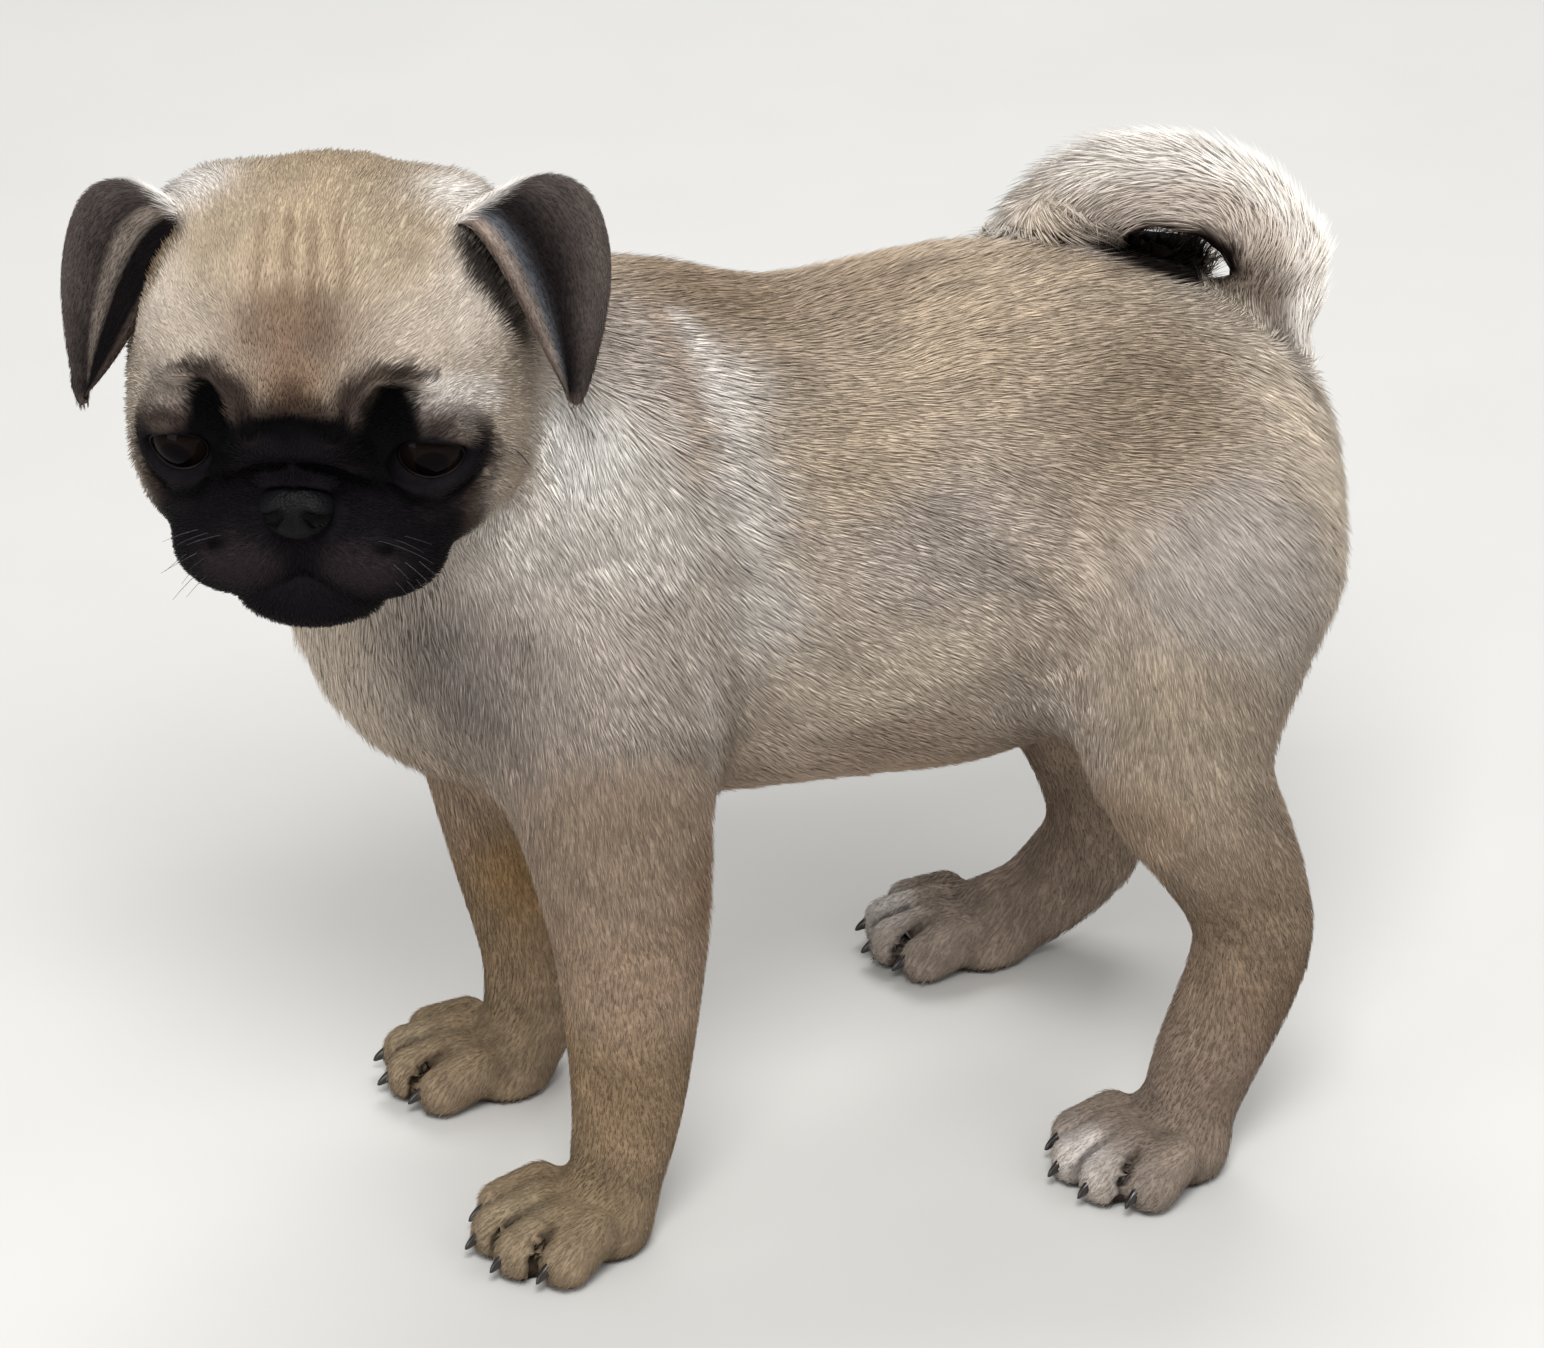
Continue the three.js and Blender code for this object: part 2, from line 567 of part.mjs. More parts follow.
// Cuts between nodes: a point and the direction away from the body
const headCut = [[12, -96, 214], [0.48, -0.59, 0.66]];
const neckCut = [[0, -72, 182], [0.1, -0.66, 0.745]];
const tailCuts = [
  [tailRows[2], [0, 0.25, 0.97]],
  [tailRows[4], [-0.15, -0.85, 0.5]],
  [tailRows[6], [-0.3, -0.9, -0.3]],
];
const foreCuts = (s) => ({
  shoulder: [[[s * 22, -52, 130], [s * 0.62, -0.1, -0.78]], [[s * 20, 0, 0], [s, 0, 0]], [[0, -14, 120], [0, -0.93, -0.37]]],
  middle: [[s * 43, -54, 88], [0, 0, -1]],
  low: [[s * 39, -51, 27], [0, -0.15, -1]],
});
const hindCuts = (s, knee, hock) => ({
  shoulder: [[[s * 20, 88, 134], [s * 0.62, 0, -0.78]], [[s * 13, 0, 0], [s, 0, 0]], [[0, 40, 120], [0, 0.93, -0.37]]],
  middle: knee,
  low: hock,
});
const legCuts = {
  fore_left: foreCuts(1),
  fore_right: foreCuts(-1),
  hind_left: hindCuts(1, [[57, 84, 94], [0, 0.3, -1]], [[58, 95, 46], [0, -0.35, -1]]),
  hind_right: hindCuts(-1, [[-50, 83, 86], [0.1, 0.4, -0.9]], [[-46, 99, 28], [0, -0.5, -0.87]]),
};
const legNames = {
  fore_left: ["upper_foreleg_left", "forearm_left", "forepaw_left"],
  fore_right: ["upper_foreleg_right", "forearm_right", "forepaw_right"],
  hind_left: ["thigh_left", "shank_left", "hind_paw_left"],
  hind_right: ["thigh_right", "shank_right", "hind_paw_right"],
};

// Trunk: neck and torso, less the upper legs
const trunk = fromForm(flesh, [-80, -140, 58], [80, 146, 262], 3.2, 2900);
const [, bodySolid] = parted(trunk, ...headCut);
const [neck, wholeTorso] = parted(bodySolid, ...neckCut);
let torso = wholeTorso.subtract(inside([tailCuts[0], [[0, 60, 0], [0, 1, 0]]], -HALF_GAP));
add("neck", neck, fawnCoat);

// Legs: the upper length comes off the trunk, the finer lower lengths from a form of their own
const legBoxes = {
  fore_left: [[14, -98, -4], [74, -26, 100]],
  fore_right: [[-70, -98, -4], [-14, -26, 100]],
  hind_left: [[20, 34, -4], [88, 122, 108]],
  hind_right: [[-80, 32, -4], [-14, 126, 100]],
};
const CLAW = { long: 7, radius: 1.9, bend: 30 };
const ground = [[0, 0, 0], [0, 0, 1]];

// A claw from its root at the origin along -Y, bending down to a point
function clawGeometry(swell = 0) {
  const sides = 5;
  const rings = 3;
  const positions = [];
  const centre = (t) => {
    const angle = deg(CLAW.bend) * t;
    const reach = (CLAW.long + swell) / deg(CLAW.bend);
    return [0, -reach * Math.sin(angle), reach * (Math.cos(angle) - 1)];
  };
  for (let ring = 0; ring < rings; ring++) {
    const t = ring / rings;
    const [, cy, cz] = centre(t);
    const radius = CLAW.radius * Math.sqrt(1 - 0.9 * t) + swell;
    for (let side = 0; side < sides; side++) {
      const a = (2 * Math.PI * side) / sides;
      positions.push(0.8 * radius * Math.cos(a), cy, cz + radius * Math.sin(a));
    }
  }
  positions.push(...centre(1), 0, swell, 0);
  const [tip, root] = [sides * rings, sides * rings + 1];
  const index = [];
  for (let side = 0; side < sides; side++) {
    const next = (side + 1) % sides;
    for (let ring = 0; ring < rings - 1; ring++) {
      const [a, b] = [ring * sides + side, ring * sides + next];
      index.push(a, b, a + sides, b, b + sides, a + sides);
    }
    index.push((rings - 1) * sides + side, (rings - 1) * sides + next, tip, side, root, next);
  }
  const geometry = new THREE.BufferGeometry();
  geometry.setAttribute("position", new THREE.Float32BufferAttribute(positions, 3));
  return geometry.setIndex(index);
}

for (const [leg, { paw, toeOut }] of Object.entries(legs)) {
  const cuts = legCuts[leg];
  const [upperName, middleName, lowName] = legNames[leg];
  const upperWhole = trunk.intersect(inside(cuts.shoulder, HALF_GAP));
  torso = torso.subtract(inside(cuts.shoulder, -HALF_GAP));
  const [, upper] = parted(upperWhole, ...cuts.middle);
  const pawCare = (x, y, z) => (z < 24 ? 3 : 1);
  const lower = fromForm(flesh, ...legBoxes[leg], 1.5, 900, pawCare)
    .intersect(inside(cuts.shoulder, HALF_GAP))
    .intersect(beyond(...cuts.middle, HALF_GAP))
    .intersect(beyond(...ground));
  let [foot, shin] = parted(lower, ...cuts.low);
  const place = pawFrame(paw, toeOut);
  const turn = new THREE.Matrix4().makeRotationZ(deg(toeOut));
  TOES.forEach((toe, i) => {
    const splay = new THREE.Matrix4().makeRotationZ(deg(toe.x * 0.7)).multiply(new THREE.Matrix4().makeRotationX(deg(12)));
    const root = vec(...place(toe.x, toe.tip - 3, TOE_TIP_HEIGHT + 0.9));
    const at = turn.clone().multiply(splay).setPosition(root);
    foot = foot.subtract(fromGeometry(clawGeometry(GAP), at));
    add(`claw_${leg}_${i + 1}`, fromGeometry(clawGeometry(), at), clawHorn);
  });
  add(upperName, upper, fawnCoat);
  add(middleName, shin, fawnCoat);
  add(lowName, foot, fawnCoat);
}
add("torso", torso, fawnCoat);

// Tail in three lengths
const tailWhole = fromForm(tailForm, [-34, 50, 170], [20, 146, 246], 1.7, 620);
const [tailFree] = parted(tailWhole, ...tailCuts[0]);
const [tailUpper, tailBase] = parted(tailFree, ...tailCuts[1]);
const [tailTip, tailMiddle] = parted(tailUpper, ...tailCuts[2]);
add("tail_base", tailBase, fawnCoat);
add("tail_middle", tailMiddle, paleCoat);
add("tail_tip", tailTip, paleCoat);

// Head
const faceCare = (x, y, z) => {
  const [, ly, lz] = inHead(x, y, z);
  return ly > -14 || lz > 16 ? 1 : 7;
};
let [head] = parted(fromForm(flesh, [-36, -172, 166], [90, -56, 280], 1.3, 4500, faceCare), ...headCut);

// Eyes: balls in sockets of their own, turned to the gaze
for (const s of [1, -1]) {
  const place = headPlace
    .clone()
    .multiply(gazeTurn(s).setPosition(eyeAt(s)))
    .multiply(new THREE.Matrix4().makeRotationX(Math.PI / 2));
  const ball = (radius) => fromGeometry(new THREE.SphereGeometry(radius, 16, 11), place);
  head = head.subtract(ball(EYE_RADIUS + GAP));
  add(s > 0 ? "eye_left" : "eye_right", ball(EYE_RADIUS), eyeGlaze);
}

// Nose leather, let into the muzzle
const noseLow = [NOSE[0] - 10, NOSE[1] - 9, NOSE[2] - 8];
const noseHigh = [NOSE[0] + 10, NOSE[1] + 9, NOSE[2] + 8];
const noseSolid = fromForm(noseForm, noseLow, noseHigh, 0.55, 320).transform(headPlace.elements);
const nosePocket = fromForm((x, y, z) => noseLump(x, y, z) - GAP, noseLow, noseHigh, 0.8, 180);
head = head.subtract(nosePocket.transform(headPlace.elements));
add("nose", noseSolid, noseLeather);

// Ears: cubic sheets, thickest in the middle, rooted in slots in the head.
// Rows run from the root to the tip, each from the front edge to the back edge.
const EAR_THICKNESS = 3;
const EAR_STEPS = { across: 7, along: 12 };
const EAR_SHIFT = [2.5, 2]; // the left ear is carried wider and higher than the right
const earRows = (s) =>
  [
    [[25, -4, 24], [30, 2, 29], [35, 13, 27], [38, 23, 4]],
    [[31, -9, 42], [46, -3, 52], [55, 12, 49], [50, 29, 20]],
    [[44, -13, 8], [66, -2, 40], [72, 15, 42], [58, 18, 2]],
    [[52, -9, -9], [53.5, -8.5, -13.5], [55, -6.5, -13.5], [56.5, -4.5, -8]],
  ].map((row) => row.map(([x, y, z]) => [s * x + EAR_SHIFT[0], y, z + s * EAR_SHIFT[1]]));

const cubic = (t) => [(1 - t) ** 3, 3 * t * (1 - t) ** 2, 3 * t * t * (1 - t), t ** 3];
function sheetPoint(rows, u, v) {
  const [along, across] = [cubic(v), cubic(u)];
  const point = vec(0, 0, 0);
  rows.forEach((row, i) => row.forEach((p, j) => point.addScaledVector(vec(...p), along[i] * across[j])));
  return point;
}

function earGeometry(s, swell = 0) {
  const rows = earRows(s);
  const { across, along } = EAR_STEPS;
  const positions = [];
  const index = [];
  const step = 1e-3;
  const number = new Map();
  const vertex = (i, j, face) => {
    const rim = i === 0 || j === 0 || i === across || j === along;
    const key = `${i},${j},${rim ? 0 : face}`;
    if (!number.has(key)) {
      const [u, v] = [i / across, j / along];
      const point = sheetPoint(rows, u, v);
      const du = sheetPoint(rows, u + step, v).sub(sheetPoint(rows, u - step, v));
      const dv = sheetPoint(rows, u, v + step).sub(sheetPoint(rows, u, v - step));
      const normal = du.clone().cross(dv).normalize().multiplyScalar(s);
      const toEdge = Math.min(u, 1 - u, 1 - v) * 4;
      const half = rim ? 0 : (EAR_THICKNESS / 2) * Math.min(1, 0.45 + toEdge) + swell;
      point.addScaledVector(normal, face * half);
      if (rim && i === 0) point.addScaledVector(du.normalize(), -2 * swell);
      if (rim && i === across) point.addScaledVector(du.normalize(), 2 * swell);
      if (rim && j === 0) point.addScaledVector(dv.normalize(), -2 * swell);
      number.set(key, positions.length / 3);
      positions.push(...point.toArray());
    }
    return number.get(key);
  };
  for (const face of [1, -1])
    for (let i = 0; i < across; i++)
      for (let j = 0; j < along; j++) {
        const [a, b, c, d] = [vertex(i, j, face), vertex(i + 1, j, face), vertex(i + 1, j + 1, face), vertex(i, j + 1, face)];
        const outward = face * s > 0;
        index.push(...(outward ? [a, b, c, a, c, d] : [a, c, b, a, d, c]));
      }
  const geometry = new THREE.BufferGeometry();
  geometry.setAttribute("position", new THREE.Float32BufferAttribute(positions, 3));
  return geometry.setIndex(index);
}

for (const s of [1, -1]) {
  head = head.subtract(fromGeometry(earGeometry(s, GAP), headPlace));
  add(s > 0 ? "ear_left" : "ear_right", fromGeometry(earGeometry(s), headPlace), blackCoat);
}

// Muzzle: the dark lips and chin in front of a slanting cut
const inWorld = ([x, y, z]) => vec(x, y, z).applyMatrix4(headPlace).toArray();
const worldDirection = ([x, y, z]) => vec(x, y, z).transformDirection(headPlace).toArray();
const [muzzle, skull] = parted(head, inWorld([0, -42, -14.7]), worldDirection([0, -0.4, -0.92]));
add("muzzle", muzzle, blackCoat);
add("head", skull, fawnCoat);

// The origin goes to the floor under the middle of the whole puppy.
const MIDDLE = [2.6, -13.3];
for (const mesh of group.children) mesh.geometry.translate(-MIDDLE[0], -MIDDLE[1], 0);

export default group;
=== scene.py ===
"""A fawn pug puppy of about twelve weeks, life size, standing with its head turned to its left.

One soft skin is worked out from the same named masses as the solids, a coat's depth inside them.
Short tufts of fur grow from it. Eyes, nose leather, claws and whiskers are pieces of their own.
Forms are worked out in millimetres in the puppy's own frame: it faces -Y and its left is +X.
"""
import math

import bpy
import numpy as np
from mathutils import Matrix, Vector


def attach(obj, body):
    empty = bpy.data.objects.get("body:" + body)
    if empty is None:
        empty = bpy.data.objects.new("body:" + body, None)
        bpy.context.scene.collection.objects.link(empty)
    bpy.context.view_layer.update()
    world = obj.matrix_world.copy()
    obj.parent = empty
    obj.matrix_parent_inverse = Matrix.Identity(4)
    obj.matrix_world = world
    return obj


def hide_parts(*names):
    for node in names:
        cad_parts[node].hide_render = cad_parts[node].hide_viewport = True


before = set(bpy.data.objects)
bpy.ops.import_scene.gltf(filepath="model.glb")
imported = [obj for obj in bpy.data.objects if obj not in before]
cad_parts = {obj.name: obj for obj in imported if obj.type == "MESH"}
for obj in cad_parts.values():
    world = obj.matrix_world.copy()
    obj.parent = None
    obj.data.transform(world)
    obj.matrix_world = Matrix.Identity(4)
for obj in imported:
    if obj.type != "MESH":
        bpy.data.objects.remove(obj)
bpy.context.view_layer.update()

MM = 0.001
MIDDLE = np.array([2.6, -13.3, 0.0])  # middle of the puppy's box, which is the origin of the part
SEED = 12

# Driving dimensions, the same as the solids have
BACK_HEIGHT = 215.0
BELLY_HEIGHT = 90.0
TORSO_WIDTH = 108.0
RUMP_Y = 139.0
CHEST_Y = -112.0
FORE_STANCE = 36.0
HIND_STANCE = 57.0
HEAD_WIDTH = 87.0
HEAD_TOP = 38.0
EYE_RADIUS = 9.0
LID = 2.2

HEAD_CENTRE = np.array([25.0, -113.0, 231.4])
HEAD_YAW = 63.5
HEAD_PITCH = 2.0
HEAD_ROLL = -0.6
EYE = np.array([25.3, -25.5, -9.5])
GAZE_OUT = 14.0
GAZE_DOWN = 20.0
NOSE = np.array([0.0, -42.0, -18.0])


def turn(axis, degrees):
    """Rotation matrix about one axis."""
    c, s = math.cos(math.radians(degrees)), math.sin(math.radians(degrees))
    i, j = {"x": (1, 2), "y": (2, 0), "z": (0, 1)}[axis]
    made = np.eye(3)
    made[i, i] = made[j, j] = c
    made[i, j], made[j, i] = -s, s
    return made


HEAD_TURN = turn("z", HEAD_YAW) @ turn("x", HEAD_PITCH) @ turn("y", HEAD_ROLL)


def to_head(points):
    return (points - HEAD_CENTRE) @ HEAD_TURN


def from_head(points):
    return np.asarray(points, float) @ HEAD_TURN.T + HEAD_CENTRE


# Forms: distance to a surface in millimetres, negative inside, for many points at once
def ellipsoid(centre, radii, turned=None):
    centre = np.asarray(centre, float)
    radii = np.asarray(radii, float)

    def form(points):
        q = points - centre
        if turned is not None:
            q = q @ turned
        near = np.linalg.norm(q / radii, axis=1)
        steep = np.linalg.norm(q / radii**2, axis=1)
        return near * (near - 1) / np.maximum(steep, 1e-9)

    return form


def limb(a, b, ra, rb):
    """A round end at a and at b, each with its own radius, and the taper between them."""
    a = np.asarray(a, float)
    ab = np.asarray(b, float) - a
    long2 = ab @ ab
    taper = ra - rb
    slope2 = long2 - taper * taper

    def form(points):
        pa = points - a
        along = pa @ ab
        past = along - long2
        side2 = np.sum((pa * long2 - np.outer(along, ab)) ** 2, axis=1)
        along2 = along * along * long2
        past2 = past * past * long2
        k = np.sign(taper) * taper * taper * side2
        d = (np.sqrt(side2 * slope2 / long2) + along * taper) / long2 - ra
        d = np.where(np.sign(along) * slope2 * along2 < k, np.sqrt(side2 + along2) / long2 - ra, d)
        return np.where(np.sign(past) * slope2 * past2 > k, np.sqrt(side2 + past2) / long2 - rb, d)

    return form


def chain(rows):
    """Limbs through several points: each row is x, y, z, radius."""
    links = [limb(a[:3], b[:3], a[3], b[3]) for a, b in zip(rows, rows[1:])]

    def form(points):
        return np.min([link(points) for link in links], axis=0)

    return form


def eased(rows, steps=3):
    """The same rows with more between them, so that a chain bends softly."""
    rows = np.asarray(rows, float)
    ends = np.concatenate([[2 * rows[0] - rows[1]], rows, [2 * rows[-1] - rows[-2]]])
    made = []
    for a, b, c, d in zip(ends, ends[1:], ends[2:], ends[3:]):
        for t in np.arange(steps) / steps:
            bend = t**2 * (a - 2.5 * b + 2 * c - d / 2) + t**3 * (d - a + 3 * (b - c)) / 2
            made.append(b + t * (c - a) / 2 + bend)
    return [*made, rows[-1]]


def meet(a, b, blend):
    if blend <= 0:
        return np.minimum(a, b)
    h = np.maximum(blend - np.abs(a - b), 0) / blend
    return np.minimum(a, b) - h * h * blend / 4


def carve(a, b, blend):
    return -meet(-a, b, blend)


def body(parts):
    """Each form melts into those before it over its blend."""

    def form(points):
        d = parts[0][0](points)
        for piece, blend in parts[1:]:
            d = meet(d, piece(points), blend)
        return d

    return form


FAR = 60.0  # what a form gives beyond its reach


def within(form, centre, reach):
    """The same form, taken as far away beyond a reach from a centre."""
    centre = np.asarray(centre, float)

    def kept(points):
        d = np.full(len(points), FAR)
        close = np.sum((points - centre) ** 2, axis=1) < reach * reach
        if close.any():
            d[close] = form(points[close])
        return d

    return kept


def both(make):
    return [make(1), make(-1)]


def both_sides(table):
    """Each entry of a table that starts with rows, and its mirror image where it has one."""
    made = []
    for rows, *rest in table:
        made.append((rows, *rest))
        if any(row[0] for row in rows):
            made.append(([[-row[0], *row[1:]] for row in rows], *rest))
    return made


# Torso and neck
TORSO_MID = (BACK_HEIGHT + BELLY_HEIGHT) / 2
torso_forms = [
    (ellipsoid([0, -24, TORSO_MID + 3], [TORSO_WIDTH / 2 - 1, 64, 58]), 0),
    (ellipsoid([0, 36, TORSO_MID - 1], [TORSO_WIDTH / 2 - 3, 66, 59]), 24),
    (ellipsoid([0, RUMP_Y - 48, TORSO_MID + 1], [50, 47, 51]), 24),
    (ellipsoid([0, -40, BACK_HEIGHT - 32], [36, 52, 30]), 26),
    (ellipsoid([0, 48, BACK_HEIGHT - 36], [38, 52, 33]), 24),
    (ellipsoid([0, CHEST_Y + 36, 148], [38, 36, 38]), 24),
]
neck_forms = [
    (limb([0, -54, 180], [8, -88, 212], 43, 35), 26),
    (ellipsoid([5, -86, 172], [35, 29, 32]), 24),
]

# Legs: joints as x, y, z, radius from the body down, then the paw's middle and how far it toes out
LEGS = {
    "fore_left": (
        [[38, -60, 146, 27], [44, -56, 112, 22], [43, -53, 86, 18.5], [41, -52, 62, 15.8],
         [40, -53, 34, 13], [40, -56, 16, 11]],
        [FORE_STANCE + 4, -64],
        12,
    ),
    "fore_right": (
        [[-37, -62, 146, 26], [-41, -60, 108, 20], [-41, -57, 82, 17], [-40, -54, 60, 15],
         [-38, -50, 34, 13], [-37, -51, 16, 12]],
        [-FORE_STANCE, -62],
        -12,
    ),
    "hind_left": (
        [[38, 88, 150, 34], [56, 77, 112, 22], [58, 93, 76, 15.5], [58, 97, 55, 14],
         [57, 87, 27, 12.5], [57, 82, 12, 11]],
        [HIND_STANCE + 1, 75],
        14,
    ),
    "hind_right": (
        [[-38, 88, 150, 34], [-52, 73, 106, 21], [-47, 94, 66, 13.5], [-45, 104, 36, 13.5],
         [-47, 91, 17, 12], [-50, 80, 11, 10.5]],
        [-HIND_STANCE + 4, 72],
        -14,
    ),
}
# Toes in the paw's own frame: side, knuckle and tip along the paw, radius
TOES = [(-14.6, -5, -13.5, 6.5), (-5.4, -9, -20, 7.0), (5.4, -9, -20, 7.0), (14.6, -5, -13.5, 6.5)]
KNUCKLE_HEIGHT = 9.4
TOE_TIP_HEIGHT = 6.2


def paw_place(paw, toe_out, points):
    """Points in a paw's frame, toes towards -Y, put on the puppy."""
    return np.asarray(points, float) @ turn("z", toe_out).T + np.array([paw[0], paw[1], 0.0])


def leg_forms(joints, paw, toe_out):
    pad = ellipsoid(paw_place(paw, toe_out, [0, 2.5, 6]), [16, 13, 10.2], turn("z", toe_out))
    forms = [(chain(eased(joints)), 16), (within(pad, [*paw, 8], 40), 6)]
    for side, knuckle, tip, radius in TOES:
        root = paw_place(paw, toe_out, [side * 0.8, knuckle, KNUCKLE_HEIGHT])
        end = paw_place(paw, toe_out, [side, tip, TOE_TIP_HEIGHT])
        forms.append((within(limb(root, end, radius, radius - 0.3), [*paw, 8], 40), 1.8))
    return forms


def toe_groove(paw, toe_out):
    """The furrows between the toes."""
    lines = []
    for (xa, ka, ta, _), (xb, kb, tb, _) in zip(TOES, TOES[1:]):
        rows = [((xa + xb) / 2 * 0.9, (ka + kb) / 2 - 4.5, KNUCKLE_HEIGHT + 5.2, 0.1),
                ((xa + xb) / 2 * 0.95, (ka + kb + ta + tb) / 4 - 2.5, KNUCKLE_HEIGHT + 3.4, 0.8),
                ((xa + xb) / 2, (ta + tb) / 2 - 3.5, TOE_TIP_HEIGHT + 1, 1.3),
                ((xa + xb) / 2, (ta + tb) / 2 - 3, 0, 1.3)]
        lines.append(chain([[*paw_place(paw, toe_out, row[:3]), row[3]] for row in rows]))
    return within(lambda points: np.min([line(points) for line in lines], axis=0), [*paw, 8], 40)


toe_grooves = [toe_groove(paw, toe_out) for _, paw, toe_out in LEGS.values()]
tendons = [  # furrow in front of the tendon above each hock
    within(chain([[75, 93, 88, 0.8], [75, 97, 72, 1.6], [74, 99, 56, 1.0]]), [73, 96, 72], 30),
    within(chain([[-62, 90, 84, 0.8], [-62, 95, 70, 1.6], [-60, 101, 54, 1.0]]), [-60, 95, 70], 30),
]

# Head, in its own frame: origin in the middle of the skull, face towards -Y
skull_forms = [
    (ellipsoid([0, 4, HEAD_TOP - 40], [HEAD_WIDTH / 2, 41.5, 40]), 0),
    (ellipsoid([0, -12, 8], [31, 27.5, 27]), 10),
    *both(lambda s: (ellipsoid([s * 25, 8, 17], [14.5, 20, 16]), 10)),
    *both(lambda s: (ellipsoid([s * 23, -8, -21], [18.5, 24, 20]), 12)),
    (ellipsoid([0, -8, -34], [25, 24, 12]), 10),
]
muzzle_forms = [
    (ellipsoid([0, -21, -27], [30, 22, 15]), 7),
    *both(lambda s: (ellipsoid([s * 13.5, -31.5, -32.5], [16, 14, 11.5]), 4)),
    (ellipsoid([0, -31.5, -42.5], [17, 12.5, 8.5]), 2),
]
LID_RADII = [EYE_RADIUS + LID + 0.5, EYE_RADIUS + LID, EYE_RADIUS + LID]
lid_forms = both(lambda s: (ellipsoid(EYE * [s, 1, 1] + [0, 0.3, 0], LID_RADII), 3.5))
# Rolls of skin over the nose, beside it and over the eyes: rows, and how softly each joins the head
folds = both_sides([
    ([[0, -42.5, -3, 4.2], [9, -41.5, -4.5, 4.4], [17, -37, -10, 4.4], [22.5, -32.5, -18, 3.8],
      [27, -27, -26, 3]], 2.5),
    ([[0, -45, -10.3, 2], [7, -43.3, -12.6, 1.8]], 1.5),
    ([[27, -30.5, 5, 1.8], [22.5, -35, 8.2, 2.4], [17, -38.2, 9, 2.5], [12.8, -40.3, 5, 2.6],
      [12, -40.8, -2, 2.8]], 2.5),
    ([[26, -24, -27, 4], [21, -31.5, -31.5, 5], [12, -37.5, -32.5, 5]], 4),
])
# Creases: rows, how softly each is pressed in, and which painted shade lies in it
creases = both_sides([
    ([[0, -48, -7.8, 1.8], [8, -46.8, -9.5, 1.9], [14.5, -42.8, -15.5, 1.6], [17.5, -39.8, -20, 0.9]],
     1.4, "hollow"),
    ([[18.5, -39.5, 5.5, 2.0], [18.8, -39, 2, 4.2], [19, -38.6, -2, 5.0], [19, -39, -6.5, 3.6],
      [17.5, -41, -8.5, 1.8], [13, -44, -8.5, 1.0]], 3.0, "hollow"),
    ([[29, -30.5, 6.5, 0.6], [23.5, -35.5, 10.6, 1.2], [17.5, -39.5, 11.8, 1.5], [12, -42, 9, 1.6],
      [9.4, -43.5, 4, 1.6], [8.8, -44, -1, 1.4]], 1.3, "ring"),
    ([[0, -48, -24, 1.3], [0, -48, -39.5, 1.8]], 1.2, "hollow"),
    ([[0, -47.5, -40.5, 1.8], [12, -45, -42.5, 1.8], [22, -37.5, -43.5, 1.6], [30.5, -25, -40, 1.0]],
     1.2, "hollow"),
    ([[5, -40.5, 27, 0.3], [7, -41.5, 12, 0.8]], 2.2, "frown"),
    ([[8.5, -46.5, -20.5, 0.7], [14, -46, -25, 0.9], [19, -43, -28, 0.4]], 1.6, "hollow"),
    ([[19, -38.3, -15, 0.5], [22.5, -36.6, -20, 0.8], [29, -32.8, -22.5, 0.8], [36, -25, -18, 0.3]],
     1.6, "hollow"),
    ([[19.5, -38, -4, 0.4], [25, -37, -1.5, 0.7], [32, -31.5, -3.5, 0.4]], 1.4, "ring"),
])


def gaze_turn(s):
    return turn("z", s * GAZE_OUT) @ turn("x", GAZE_DOWN) @ turn("y", s * -6)


def lid_opening(s):
    turned = gaze_turn(s) @ turn("y", s * 18)
    centre = turned @ np.array([0, -(EYE_RADIUS + 1), 0.9]) + EYE * [s, 1, 1]
    return ellipsoid(centre, [9.8, 6, 5.1], turned)


head_mass = body([
    *skull_forms, *muzzle_forms, *lid_forms, *[(chain(rows), blend) for rows, blend in folds],
])
crease_forms = [(chain(rows), blend) for rows, blend, _ in creases]
openings = both(lid_opening)
nose_lump = body([
    (ellipsoid(NOSE, [7.2, 5.4, 5.4]), 0),
    *both(lambda s: (ellipsoid([s * 4.3, NOSE[1] - 1.5, NOSE[2] - 0.6], [3.3, 4.3, 3.7]), 2)),
])


def head_form(points):
    local = to_head(points)
    d = head_mass(local)
    face = (local[:, 1] < -18) & (d < 8)
    if face.any():
        spot, kept = local[face], d[face]
        for form, blend in crease_forms:
            kept = carve(kept, form(spot), blend)
        for form in openings:
            kept = carve(kept, form(spot), 0.8)
        d[face] = carve(kept, nose_lump(spot) + 0.6, 0.8)
    return d


# Tail, curled up and over, its end beside the middle of the back
TAIL_ROWS = [
    [0, 116, 178, 13], [0, 124, 194, 11.5], [0, 126, 205, 10.5], [-2, 121, 216, 9.5], [-4, 111, 224, 9.5],
    [-7, 96, 228, 10], [-11, 82, 226, 10], [-15, 73, 219, 9.5], [-18, 67, 212, 8],
]
